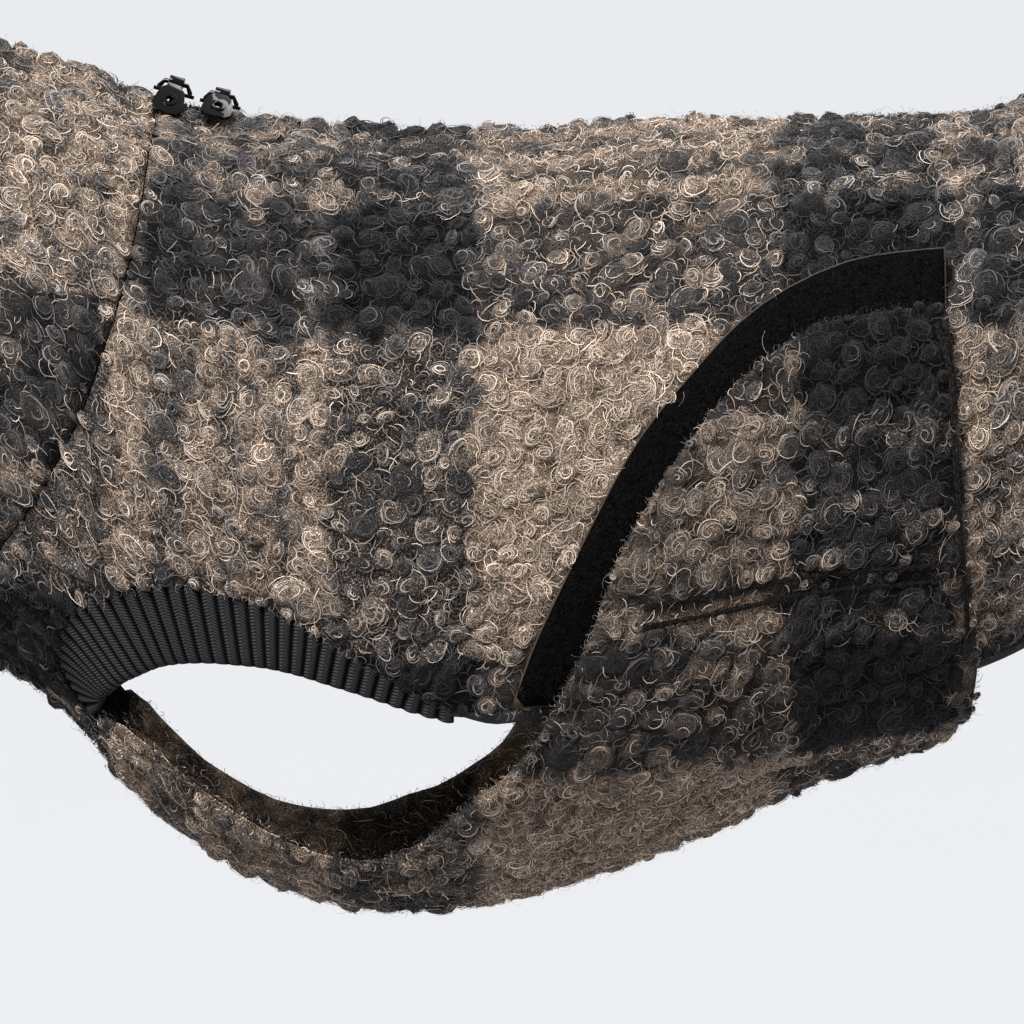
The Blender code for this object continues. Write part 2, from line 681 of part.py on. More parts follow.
clear_scene()
boucle = material("boucle", (0.20, 0.17, 0.145), 0.95)
knit = material("rib_knit", (0.028, 0.027, 0.030), 0.9)
tape = material("hook_and_loop", (0.008, 0.008, 0.009), 0.95)
braid = material("binding", (0.020, 0.020, 0.024), 0.6)
metal = material("black_metal", (0.012, 0.012, 0.013), 0.22, 1.0)

make_collar(boucle)
body_left = cut("body_left", body_outline(), 0.0, CLOTH, boucle)
far_side(body_left, "body_right", boucle)
make_belly_panel(boucle)
far_side(make_cuff(knit), "cuff_right", knit)
far_side(make_loop_tape(tape), "loop_tape_right", tape)
far_side(make_hook_tape(tape), "hook_tape_right", tape)
make_binding(braid)
make_zip(tape)
for number, slider in enumerate(SLIDERS, start=1):
    make_slider(f"slider_{number}", slider.along, metal)
    make_tab(f"pull_tab_{number}", slider.along, slider.lean, metal)
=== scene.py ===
"""Dog sweater: curly boucle wool in a charcoal and beige plaid, rib cuffs, tapes, hem binding, zip and studio.

Cloth is worked out in the pattern of the trunk form: (along, turn, out), in mm and turns of the form,
where turn 0 is the centre back, 1 the centre of the belly, and the near side, turn 0 to 1, is -Y.
"""
import json
import math

import bmesh
import bpy
import numpy as np
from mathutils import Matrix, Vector
from mathutils.bvhtree import BVHTree
from mathutils.kdtree import KDTree

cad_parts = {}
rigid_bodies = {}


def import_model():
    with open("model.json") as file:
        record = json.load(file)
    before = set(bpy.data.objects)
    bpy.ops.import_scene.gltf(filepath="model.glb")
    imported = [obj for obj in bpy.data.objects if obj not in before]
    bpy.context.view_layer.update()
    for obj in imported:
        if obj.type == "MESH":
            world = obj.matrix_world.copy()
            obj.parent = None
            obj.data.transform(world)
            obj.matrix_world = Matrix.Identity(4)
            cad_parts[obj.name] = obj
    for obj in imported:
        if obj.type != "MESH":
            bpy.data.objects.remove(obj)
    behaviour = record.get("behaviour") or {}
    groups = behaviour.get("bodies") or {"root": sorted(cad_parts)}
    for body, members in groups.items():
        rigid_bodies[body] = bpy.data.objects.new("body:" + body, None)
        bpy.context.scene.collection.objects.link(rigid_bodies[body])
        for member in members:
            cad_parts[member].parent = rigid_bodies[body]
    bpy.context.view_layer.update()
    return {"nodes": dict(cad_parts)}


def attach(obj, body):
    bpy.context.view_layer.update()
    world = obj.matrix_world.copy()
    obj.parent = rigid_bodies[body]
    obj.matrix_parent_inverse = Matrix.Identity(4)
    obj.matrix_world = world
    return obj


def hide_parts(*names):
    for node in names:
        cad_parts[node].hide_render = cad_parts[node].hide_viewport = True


for thing in list(bpy.data.objects):
    bpy.data.objects.remove(thing)
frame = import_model()
NODES = frame["nodes"]
rng = np.random.default_rng(20240)
MM = 0.001
FULL = 2 * math.pi

# ---- the trunk form, as the solids have it ----
STATIONS = np.array((
    (-170, 50.0, -66.0, 54), (-130, 38.0, -98.0, 58), (-95, 28.0, -128.0, 62), (-64, 20.0, -153.0, 66),
    (-45, 14.5, -164.0, 69), (-22, 7.0, -180.0, 73), (0, 0.0, -206.0, 77), (26, -6.5, -225.0, 80),
    (52, -9.5, -236.0, 83), (86, -11.0, -238.5, 85), (123, -10.5, -231.0, 85), (157, -9.0, -219.0, 83),
    (196, -9.0, -201.0, 79), (225, -8.0, -191.0, 77), (245, -7.0, -183.0, 76), (262, -3.5, -177.0, 76),
    (290, 1.0, -167.0, 77), (320, 2.5, -157.0, 77), (350, -1.0, -147.0, 75), (380, -8.0, -138.0, 70),
    (410, -19.0, -130.0, 62), (435, -32.0, -124.0, 52)))
KEEL, CREST = 0.14, 0.30
RIDGE_DROP, RIDGE_HALF, RIDGE_REST = 7.0, 14.0, 0.5
ZIP_START, ZIP_END = -104.0, 132.0
FIRST_SLIDER = 6.3
ARMHOLE = (
    (-13.5, 0.850), (-18.8, 0.838), (-22.8, 0.80), (-22.3, 0.765), (-19.2, 0.72), (-14, 0.677),
    (-5, 0.627), (6.4, 0.594), (20.5, 0.572), (32, 0.566), (43, 0.568), (54.3, 0.580),
    (65, 0.597), (78, 0.618), (91, 0.640))
CUFF_EDGE = (
    (-9.8, 0.785), (-4.8, 0.738), (0, 0.707), (8.6, 0.669), (20.1, 0.642), (34.4, 0.624),
    (45.7, 0.619), (56.8, 0.622), (68, 0.629), (79.2, 0.640), (91.5, 0.652))
HEM = (
    (92.5, 0.6415), (104, 0.645), (117, 0.650), (157, 0.675), (196, 0.712), (225, 0.744),
    (242, 0.761), (255, 0.753), (276, 0.727), (303, 0.671), (330, 0.603), (357, 0.532),
    (380, 0.449), (396, 0.327), (408, 0.163), (411, 0.0))
HEM_UNDER_FLAP = 276    # mm along; the flaps lie on the hem up to here
SEAM_GAP = 0.3          # mm between two cloths at a seam
WALL = 3.5              # mm from the form to a cloth's outer skin
LAP = 7.0               # mm that the belly panel stands off where it lies on the body


def smooth_step(low, high, value):
    share = np.clip((value - low) / (high - low), 0.0, 1.0)
    return share * share * (3.0 - 2.0 * share)


def hermite(xs, ys, x):
    gap = np.diff(xs)
    rise = np.diff(ys) / gap
    slope = np.empty(len(ys))
    slope[0], slope[-1] = rise[0], rise[-1]
    slope[1:-1] = (rise[:-1] * gap[1:] + rise[1:] * gap[:-1]) / (gap[:-1] + gap[1:])
    held = np.clip(x, xs[0], xs[-1])
    i = np.clip(np.searchsorted(xs, held, side="right") - 1, 0, len(xs) - 2)
    step = gap[i]
    u = (held - xs[i]) / step
    y = ((2 * u**3 - 3 * u**2 + 1) * ys[i] + (u**3 - 2 * u**2 + u) * step * slope[i]
         + (3 * u**2 - 2 * u**3) * ys[i + 1] + (u**3 - u**2) * step * slope[i + 1])
    return y + np.where(x < xs[0], slope[0], slope[-1]) * (x - held)


def form(along, turn):
    """Points of the trunk form, in mm."""
    along, turn = np.broadcast_arrays(np.asarray(along, float), np.asarray(turn, float))
    top, under, half_width = (hermite(STATIONS[:, 0], STATIONS[:, k], along) for k in (1, 2, 3))
    angle = math.pi * turn
    upper = (1.0 + np.cos(angle)) / 2.0
    width = half_width * np.sin(angle) * (1.0 - KEEL * (1.0 - upper)) * (1.0 - CREST * upper**3)
    aside = (width / RIDGE_HALF) ** 2
    stands = RIDGE_REST + (1.0 - RIDGE_REST) * (1.0 - smooth_step(6.0, 26.0, np.abs(along - FIRST_SLIDER)))
    stands = stands * (1.0 - smooth_step(ZIP_END - 30.0, ZIP_END + 40.0, along))
    drop = RIDGE_DROP * stands * aside * np.exp(1.0 - aside) * smooth_step(0.45, 0.8, upper)
    height = (top + under) / 2.0 + (top - under) / 2.0 * np.cos(angle)
    return np.stack((along, -width, height - drop), -1)


def unit(vectors):
    return vectors / np.linalg.norm(vectors, axis=-1, keepdims=True)


def runs(along, turn):
    """Change of the form's point with one turn and with one mm along, and the outward normal."""
    around = (form(along, turn + 0.002) - form(along, turn - 0.002)) / 0.004
    lengthwise = (form(along + 0.4, turn) - form(along - 0.4, turn)) / 0.8
    return around, lengthwise, unit(np.cross(around, lengthwise))


def on_cloth(along, turn, out):
    return form(along, turn) + runs(along, turn)[2] * np.asarray(out, float)[..., None]


def girth(along, turn):
    return np.linalg.norm(form(along, turn + 0.01) - form(along, turn - 0.01), axis=-1) / 0.02


def unrolled(points):
    """(along, turn, out) of points in mm; turn lies within 0 to 2."""
    along = points[:, 0].copy()
    top, under = (hermite(STATIONS[:, 0], STATIONS[:, k], along) for k in (1, 2))
    turn = np.arctan2(-points[:, 1], points[:, 2] - (top + under) / 2.0) / math.pi
    turn = (turn + 1e-4) % 2.0 - 1e-4
    out = np.zeros(len(points))
    for _ in range(14):
        around, lengthwise, normal = runs(along, turn)
        miss = points - form(along, turn) - normal * out[:, None]
        along = along + (miss * lengthwise).sum(1) / (lengthwise**2).sum(1)
        turn = turn + (miss * around).sum(1) / (around**2).sum(1)
        out = out + (miss * normal).sum(1)
    return np.stack((along, turn, out), 1)


# Arc length from the centre back, tabled once: v of the cloth's own coordinates.
ARC_ALONG = np.arange(-175.0, 441.0, 5.0)
ARC_TURN = np.linspace(-1.0, 2.0, 301)
_ring = form(ARC_ALONG[:, None], ARC_TURN[None, :])
_steps = np.linalg.norm(np.diff(_ring, axis=1), axis=2)
ARC = np.concatenate((np.zeros((len(ARC_ALONG), 1)), np.cumsum(_steps, axis=1)), axis=1)
ARC -= ARC[:, [100]]


def arc(along, turn):
    x = np.clip((along - ARC_ALONG[0]) / 5.0, 0, len(ARC_ALONG) - 1.001)
    y = np.clip((turn + 1.0) * 100.0, 0, 299.999)
    i, j = x.astype(int), y.astype(int)
    u, v = x - i, y - j
    return ((ARC[i, j] * (1 - v) + ARC[i, j + 1] * v) * (1 - u)
            + (ARC[i + 1, j] * (1 - v) + ARC[i + 1, j + 1] * v) * u)


def flattened(spots):
    """mm coordinates of the pattern for distances: along, and arc length."""
    return np.stack((spots[:, 0], arc(spots[:, 0], spots[:, 1])), 1)


# ---- shader helpers ----

def put(socket, value):
    """Link a node's output to an input, or set the input."""
    if isinstance(value, bpy.types.NodeSocket):
        socket.id_data.links.new(value, socket)
    else:
        socket.default_value = (*value, 1) if socket.type == "RGBA" and len(value) == 3 else value


class Nodes:
    """A node tree; each method adds a node to it and gives its output."""

    def __init__(self, tree):
        self.tree = tree

    def add(self, kind, inputs=(), **settings):
        made = self.tree.nodes.new("ShaderNode" + kind)
        for key, value in settings.items():
            setattr(made, key, value)
        for key, value in dict(inputs).items():
            put(made.inputs[key], value)
        return made

    def math(self, operation, *values):
        return self.add("Math", enumerate(values), operation=operation).outputs[0]

    def times(self, first, *others):
        for other in others:
            first = self.math("MULTIPLY", first, other)
        return first

    def scaled_sum(self, first, share, other):
        return self.math("MULTIPLY_ADD", first, share, other)

    def vectors(self, operation, first, second):
        return self.add("VectorMath", enumerate((first, second)), operation=operation).outputs[0]

    def scaled(self, vector, scale):
        return self.add("VectorMath", {0: vector, 3: scale}, operation="SCALE").outputs[0]

    def split(self, vector):
        return self.add("SeparateXYZ", {0: vector}).outputs

    def uv(self, name):
        return self.add("UVMap", uv_map=name).outputs[0]

    def wave(self, phase):
        return self.scaled_sum(self.math("SINE", self.times(phase, FULL)), 0.5, 0.5)

    def spread(self, value, low, high, first=0.0, last=1.0):
        return self.add("MapRange", {"Value": value, "From Min": low, "From Max": high, "To Min": first,
                                     "To Max": last}).outputs[0]

    def ramp(self, value, stops):
        made = self.add("ValToRGB", {0: value})
        elements = made.color_ramp.elements
        while len(elements) < len(stops):
            elements.new(0.5)
        for element, (place, colour) in zip(elements, stops):
            element.position = place
            element.color = (colour,) * 3 + (1,) if np.isscalar(colour) else (*colour, 1)
        return made.outputs[0]

    def noise(self, vector, scale, detail=2.0, roughness=0.5, distortion=0.0, dimensions="2D", output="Fac"):
        return self.add("TexNoise", {"Vector": vector, "Scale": scale, "Detail": detail, "Roughness": roughness,
                                     "Distortion": distortion}, noise_dimensions=dimensions).outputs[output]

    def wandered(self, vector, scale, far):
        """The vector moved about by a noise, and that noise."""
        noise = self.noise(vector, scale, 1.0, output="Color")
        moved = self.scaled(self.vectors("SUBTRACT", noise, (0.5, 0.5, 0.5)), far)
        return self.vectors("ADD", vector, moved), noise

    def mix(self, share, first, second, blend="MIX"):
        return self.add("Mix", {0: share, 6: first, 7: second}, data_type="RGBA", blend_type=blend).outputs[2]


class Material(Nodes):
    """A Principled material and its nodes."""

    def __init__(self, name, roughness, specular, sheen=0.0):
        self.made = bpy.data.materials.new(name)
        self.made.use_nodes = True
        super().__init__(self.made.node_tree)
        self.surface = self.tree.nodes["Principled BSDF"].inputs
        for key, value in (("Roughness", roughness), ("Specular IOR Level", specular), ("Sheen Weight", sheen),
                           ("Sheen Roughness", 0.5)):
            self.surface[key].default_value = value

    def done(self, colour, height=None, distance=0.0, strength=1.0):
        """Gives the surface its colour and its bumps, of distance metres."""
        put(self.surface["Base Color"], colour)
        if height is not None:
            bump = self.add("Bump", {"Height": height, "Distance": distance, "Strength": strength})
            put(self.surface["Normal"], bump.outputs[0])
        return self.made


# ---- the plaid ----
REPEAT = 237.0      # mm, the same in warp and weft
# (from, to, tone) in mm of one repeat: tone 1 is beige, 0 charcoal.
SETT = ((0, 9, 0.86), (9, 21, 0.2), (21, 30, 0.86), (30, 36, 0.24), (36, 43, 0.86), (43, 51, 0.18),
        (51, 60, 0.86), (60, 101, 0.0), (101, 191, 1.0), (191, 237, 0.0))
WARP_START, WEFT_START = -4.0, -14.0
EDGE = 4.0          # mm over which a stripe changes
# Colours of the wool's ground, curls and fibres, for tones 1, 0.5 (where warp and weft differ) and 0: the ground is
# darker than the curls, as painted shade under them, and the fibres lighter, as painted light on the strands on top.
GROUND_WOOL = (0.60, 0.445, 0.335), (0.088, 0.079, 0.074), (0.0075, 0.0074, 0.0088)
CURL_WOOL = (0.71, 0.535, 0.41), (0.15, 0.135, 0.127), (0.0095, 0.0094, 0.0115)
FIBRE_WOOL = (0.78, 0.62, 0.495), (0.25, 0.231, 0.222), (0.030, 0.0297, 0.0345)
PALE_YARN = (0.40, 0.385, 0.37)


def plaid(m, cloth, chance, softness):
    """Tone of the cloth at a pattern point in metres; chance picks between warp and weft."""
    stops = []
    for start, end, tone in SETT:
        stops += [((start + EDGE / 2) / REPEAT, tone), ((end - EDGE / 2) / REPEAT, tone)]
    x, y, _ = m.split(m.wandered(cloth, 90.0, 0.018)[0])
    tones = [m.ramp(m.math("FRACT", m.scaled_sum(socket, 1000.0 / REPEAT, 4.0 - start / REPEAT)), stops)
             for socket, start in ((x, WARP_START), (y, WEFT_START))]
    return m.mix(m.spread(chance, 0.5 - softness, 0.5 + softness), *tones)


def wool_colour(m, tone, colours):
    light, middle, dark = colours
    return m.ramp(tone, ((0.0, dark), (0.5, middle), (1.0, light)))


def yarn_colour(m, tone, bright, colours):
    """Colour of a curl or fibre: brighter ones are paler and greyer."""
    colour = wool_colour(m, tone, colours)
    return m.mix(m.spread(bright, 1.25, 1.9, 0.0, 0.6), colour, m.mix(0.5, colour, PALE_YARN))


# ---- wool materials ----

def curl_field(m, cloth, cell, pitch, arms):
    """Swirls of fine strands, one to a cell: distance from the cell's middle, and the strands' wave."""
    bent, wander = m.wandered(cloth, 1.3 / cell, 0.7 * cell)
    cells = m.add("TexVoronoi", {"Vector": bent, "Scale": 1.0 / cell, "Randomness": 0.9}, voronoi_dimensions="2D")
    x, y, _ = m.split(m.vectors("SUBTRACT", bent, cells.outputs["Position"]))
    distance = cells.outputs["Distance"]
    turned = m.times(m.math("ARCTAN2", y, x), arms / FULL)
    phase = m.scaled_sum(distance, cell / pitch, turned)
    return distance, m.wave(m.scaled_sum(m.split(wander)[2], 3.0, phase))


def wool_base():
    """The felted ground between the curls."""
    m = Material("boucle_ground", 0.95, 0.1, 0.06)
    cloth = m.uv("cloth")
    fibre = m.noise(cloth, 1500.0, 2.0, 0.7)
    distance, strands = curl_field(m, cloth, 0.0058, 0.00075, 2.0)
    lit = m.times(m.spread(strands, 0.1, 0.9, 0.3, 1.1), m.spread(fibre, 0.35, 0.65, 0.35, 1.35),
                  m.spread(distance, 0.65, 0.2, 0.4, 1.0), m.split(m.uv("side"))[0])
    colour = wool_colour(m, plaid(m, cloth, fibre, 0.4), GROUND_WOOL)
    return m.done(m.mix(1.0, colour, lit, "MULTIPLY"), m.scaled_sum(strands, 0.5, fibre), 0.0006, 0.8)


def wool_puffs():
    """The bodies of the curls: strands wound round each one's middle, with hairs over them."""
    m = Material("boucle_puffs", 0.85, 0.15, 0.08)
    bright, pick, _ = m.split(m.uv("tint"))
    local = m.uv("strand")
    seeded = m.vectors("ADD", m.vectors("MULTIPLY", local, (1000.0, 1000.0, 0.0)), m.scaled(m.uv("tint"), 97.0))
    x, y, _ = m.split(local)
    away = m.math("POWER", m.scaled_sum(x, x, m.times(y, y)), 0.5)
    phase = m.scaled_sum(away, 1.0 / 0.00058, m.times(m.math("ARCTAN2", y, x), 2.0 / FULL))
    strands = m.wave(m.scaled_sum(m.noise(seeded, 0.42), 9.0, phase))
    frizz = m.noise(seeded, 1.9, 2.0, 0.6)
    tone = plaid(m, m.uv("cloth"), m.scaled_sum(pick, 0.34, m.times(frizz, 0.66)), 0.3)
    deep = m.ramp(m.split(m.uv("rim"))[0], ((0.0, 0.4), (0.16, 0.7), (0.42, 1.0), (0.72, 0.86), (1.0, 0.45)))
    lint = m.noise(seeded, 1.15, 1.0, 0.5, 0.8)
    hairs = m.spread(m.math("ABSOLUTE", m.math("SUBTRACT", lint, 0.5)), 0.0, 0.055, 2.05, 0.74)
    lit = m.times(m.spread(strands, 0.12, 0.88, 0.38, 1.1), m.spread(frizz, 0.34, 0.66, 0.5, 1.35), hairs,
                  m.times(bright, deep))
    colour = m.mix(1.0, yarn_colour(m, tone, bright, CURL_WOOL), lit, "MULTIPLY")
    return m.done(colour, m.scaled_sum(frizz, 0.5, strands), 0.0005, 0.9)


def wool_strands():
    """Single fibres of the curls and of the felt between them."""
    m = Material("boucle_fibres", 0.7, 0.3, 0.1)
    bright, pick, _ = m.split(m.uv("tint"))
    tone = plaid(m, m.uv("cloth"), pick, 0.34)
    return m.done(m.mix(1.0, yarn_colour(m, tone, bright, FIBRE_WOOL), bright, "MULTIPLY"))


# ---- knit, tape, braid, thread and metal materials ----

def knit_material():
    """One column of V stitches to a rib, with a deep groove between ribs."""
    m = Material("rib_knit_yarn", 0.85, 0.15, 0.05)
    cloth = m.uv("cloth")
    across, down, _ = m.split(cloth)
    local = m.math("ABSOLUTE", m.math("SUBTRACT", m.math("FRACT", across), 0.5))
    legs = m.times(m.wave(m.scaled_sum(down, 1.0 / 0.95, m.times(local, -3.0))), m.spread(local, 0.0, 0.07, 0.35, 1.0))
    fibre = m.noise(m.vectors("MULTIPLY", cloth, (RIB_PITCH, 1.0, 1.0)), 3.2, 3.0, 0.6)
    lit = m.times(m.times(m.spread(legs, 0.1, 0.9, 0.28, 1.15), m.spread(fibre, 0.3, 0.7, 0.65, 1.3)),
                  m.spread(local, 0.27, 0.40, 1.0, 0.02))
    colour = m.mix(1.0, (0.07, 0.0685, 0.072), lit, "MULTIPLY")
    return m.done(colour, m.scaled_sum(fibre, 0.25, legs), 0.0004, 0.9)


def nap_material():
    """Black nap; a tape's rim has a thin brown sewn edge and a dark line inside it."""
    m = Material("napped_tape", 1.0, 0.02)
    place = m.uv("cloth")
    both = m.times(m.noise(place, 1900.0, 3.0, 0.75), m.noise(place, 700.0, 2.0, 0.5, 1.5))
    nap = m.ramp(both, ((0.15, (0.0012, 0.0012, 0.0013)), (0.42, (0.0105, 0.0105, 0.011))))
    from_rim = m.split(m.uv("rim"))[0]
    sewn = m.ramp(from_rim, ((0.0, (0.11, 0.084, 0.066)), (0.035, (0.075, 0.055, 0.043)), (0.05, 0.002), (0.09, 0.0)))
    edge = m.ramp(from_rim, ((0.05, 1.0), (0.09, 0.0)))
    return m.done(m.mix(edge, nap, sewn), both, 0.0006, 0.9)


def channel_material():
    """Wool flattened under a row of stitches and behind a seam, painted dark brown: painted shade in the groove."""
    m = Material("painted_groove_shade", 0.95, 0.02)
    frizz = m.noise(m.uv("cloth"), 1400.0, 2.0, 0.6)
    return m.done(m.ramp(frizz, ((0.3, (0.005, 0.0047, 0.0045)), (0.7, (0.036, 0.031, 0.028)))))


def braid_material():
    m = Material("binding_braid", 0.62, 0.3, 0.1)
    place = m.uv("cloth")
    weave = m.add("TexWave", {"Vector": place, "Scale": 420.0, "Distortion": 0.6}, bands_direction="DIAGONAL")
    both = m.scaled_sum(weave.outputs["Fac"], 0.5, m.noise(place, 1500.0, 2.0, 0.6))
    return m.done(m.ramp(both, ((0.3, (0.018, 0.018, 0.021)), (1.1, (0.034, 0.033, 0.037)))), both, 0.0002, 0.5)


def metal_material():
    m = Material("black_enamel", 0.08, 0.28)
    wear = m.noise(m.add("TexCoord").outputs["Object"], 900.0, 3.0, 0.6, dimensions="3D")
    put(m.surface["Roughness"], m.spread(wear, 0.3, 0.8, 0.045, 0.10))
    return m.done(m.ramp(wear, ((0.3, (0.0012, 0.0012, 0.0014)), (0.8, (0.0026, 0.0026, 0.0028)))))


# ---- mesh helpers ----

def placed(name, data):
    made = bpy.data.objects.new(name, data)
    bpy.context.scene.collection.objects.link(made)
    return made


def mesh_object(name, points, faces, material, maps=None, smooth=True):
    """points in mm; faces an array of 3 or 4 corners; maps = {uv name: values for each corner}."""
    mesh = bpy.data.meshes.new(name)
    sides = faces.shape[1]
    mesh.vertices.add(len(points))
    mesh.vertices.foreach_set("co", (np.asarray(points) * MM).astype(np.float32).ravel())
    mesh.loops.add(faces.size)
    mesh.loops.foreach_set("vertex_index", faces.astype(np.int32).ravel())
    mesh.polygons.add(len(faces))
    mesh.polygons.foreach_set("loop_start", np.arange(0, faces.size, sides, dtype=np.int32))
    mesh.polygons.foreach_set("loop_total", np.full(len(faces), sides, dtype=np.int32))
    mesh.update(calc_edges=True)
    for key, values in (maps or {}).items():
        layer = mesh.uv_layers.new(name=key)
        layer.uv.foreach_set("vector", values.astype(np.float32).ravel())
    mesh.validate()
    if smooth:
        mesh.shade_smooth()
    mesh.materials.append(material)
    return placed(name, mesh)


def dress(piece, slot, *nodes, body="garment"):
    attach(piece, body)
    if nodes:
        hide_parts(*nodes)
    return piece


def read_points(mesh):
    """Points of a mesh, in metres."""
    points = np.empty(len(mesh.vertices) * 3, np.float32)
    mesh.vertices.foreach_get("co", points)
    return points.reshape(-1, 3)


def node_triangles(name):
    """Points in mm, merged, and triangles of a CAD node."""
    mesh = NODES[name].data
    mesh.calc_loop_triangles()
    points = read_points(mesh).astype(float) / MM
    corners = np.empty(len(mesh.loop_triangles) * 3, np.int32)
    mesh.loop_triangles.foreach_get("vertices", corners)
    _, first, back = np.unique(np.round(points, 3), axis=0, return_index=True, return_inverse=True)
    triangles = back.ravel()[corners].reshape(-1, 3)
    return points[first], triangles[(triangles[:, 0] != triangles[:, 1]) & (triangles[:, 1] != triangles[:, 2])]


def crossed(points, triangles):
    """Normals of triangles, twice their area long."""
    corner = points[triangles[:, 0]]
    return np.cross(points[triangles[:, 1]] - corner, points[triangles[:, 2]] - corner)


def rim_edges(faces):
    """Edges that only one triangle has."""
    edges = faces[:, [0, 1, 1, 2, 2, 0]].reshape(-1, 2)
    _, index, count = np.unique(np.sort(edges, 1), axis=0, return_index=True, return_counts=True)
    return edges[index[count == 1]]


def along_edges(flat, edges, step):
    """Points every step mm along edges, in pattern mm."""
    a, b = flat[edges[:, 0]], flat[edges[:, 1]]
    return np.concatenate([a + (b - a) * share for share in np.arange(0.0, 1.0, step / 12.0)])


class Wall:
    """The outer and inner skin of a cloth node, as pattern spots and triangles."""

    def __init__(self, name, shift=(0.0, 0.0)):
        self.name, self.shift = name, np.array(shift)
        points, triangles = node_triangles(name)
        self.spots = unrolled(points)
        middle = self.spots[triangles].mean(1)
        facing = (unit(crossed(points, triangles)) * runs(middle[:, 0], middle[:, 1])[2]).sum(1)
        self.outer = triangles[facing > 0.6]
        self.inner = triangles[facing < -0.6]
        self.edge_points = along_edges(flattened(self.spots), rim_edges(self.outer), 1.5)


def subdivided(spots, triangles, parts):
    """Each triangle cut into parts x parts; points on shared edges are shared."""
    weights, small = [], []
    index = {}
    for i in range(parts + 1):
        for j in range(parts + 1 - i):
            index[i, j] = len(weights)
            weights.append((parts - i - j, i, j))
    for i in range(parts):
        for j in range(parts - i):
            small.append((index[i, j], index[i + 1, j], index[i, j + 1]))
            if i + j < parts - 1:
                small.append((index[i + 1, j], index[i + 1, j + 1], index[i, j + 1]))
    weights = np.array(weights) / parts
    fine = np.einsum("wc,tcd->twd", weights, spots[triangles]).reshape(-1, spots.shape[1])
    faces = (np.arange(len(triangles))[:, None, None] * len(weights) + np.array(small)[None]).reshape(-1, 3)
    _, first, back = np.unique(np.round(fine[:, :3], 5), axis=0, return_index=True, return_inverse=True)
    return fine[first], back.ravel()[faces]


def found_nearest(points, others):
    """For each point the (place, index, distance) of the nearest of the others, in their plane."""
    tree = KDTree(len(others))
    for i, (x, y) in enumerate(others.tolist()):
        tree.insert((x, y, 0.0), i)
    tree.balance()
    return [tree.find((x, y, 0.0)) for x, y in points.tolist()]


def nearest(points, others):
    return np.array([found[2] for found in found_nearest(points, others)])


def run_length(places):
    """Length up to each of the places, from the first."""
    return np.concatenate(([0.0], np.cumsum(np.linalg.norm(np.diff(places, axis=0), axis=1))))


# ---- topstitched grooves, as pattern curves of the near side ----

def groove(rows, count=120):
    rows = np.array(rows, float)
    run = np.concatenate(([0.0], np.cumsum(np.hypot(np.diff(rows[:, 0]), np.diff(rows[:, 1]) * 280))))
    wanted = np.linspace(0, run[-1], count)
    return hermite(run, rows[:, 0], wanted), hermite(run, rows[:, 1], wanted)


FLAP_SEAM = ((144, 0.572), (164, 0.576), (188, 0.584), (206, 0.593), (228, 0.605))
STITCH_APART = 0.0155     # turn between the flap's two rows of topstitching
FLAP_REAR_ROW = ((227, 0.385), (229.4, 0.411), (231.5, 0.511), (234.0, 0.616), (236.2, 0.70))
COLLAR_SEAM = ((2, 0.0), (2.3, 0.2), (-1.3, 0.324), (-7.4, 0.415), (-14, 0.493), (-24.4, 0.585), (-37.1, 0.678),
               (-51, 0.80), (-61, 0.92), (-63.5, 1.0))
STRAP_FOLD = groove(((-9, 0.843), (2.9, 0.838), (13, 0.846), (42, 0.862)))
GROOVES = [groove(FLAP_SEAM), groove([(a, t + STITCH_APART) for a, t in FLAP_SEAM]), groove(FLAP_REAR_ROW)]
SEAM = groove(COLLAR_SEAM, 220)
GROOVE_POINTS = np.concatenate([np.stack((along, arc(along, there)), 1)
                                for along, turn in [*GROOVES, STRAP_FOLD, SEAM] for there in (turn, 2.0 - turn)])
GROOVE_DEPTH, GROOVE_HALF = 0.9, 1.7


# ---- cloth shells ----
PILE = 0.3          # mm from the ground of the cloth to the outer skin of its solid
EDGE_RADIUS = 1.6


def cloth_place(spots, shift):
    """Place in the plaid, in metres; both halves of the garment match at the centre lines."""
    turn = 1.0 - np.abs(1.0 - np.abs(spots[:, 1]))
    return (np.stack((spots[:, 0], arc(spots[:, 0], turn)), 1) + shift) * MM


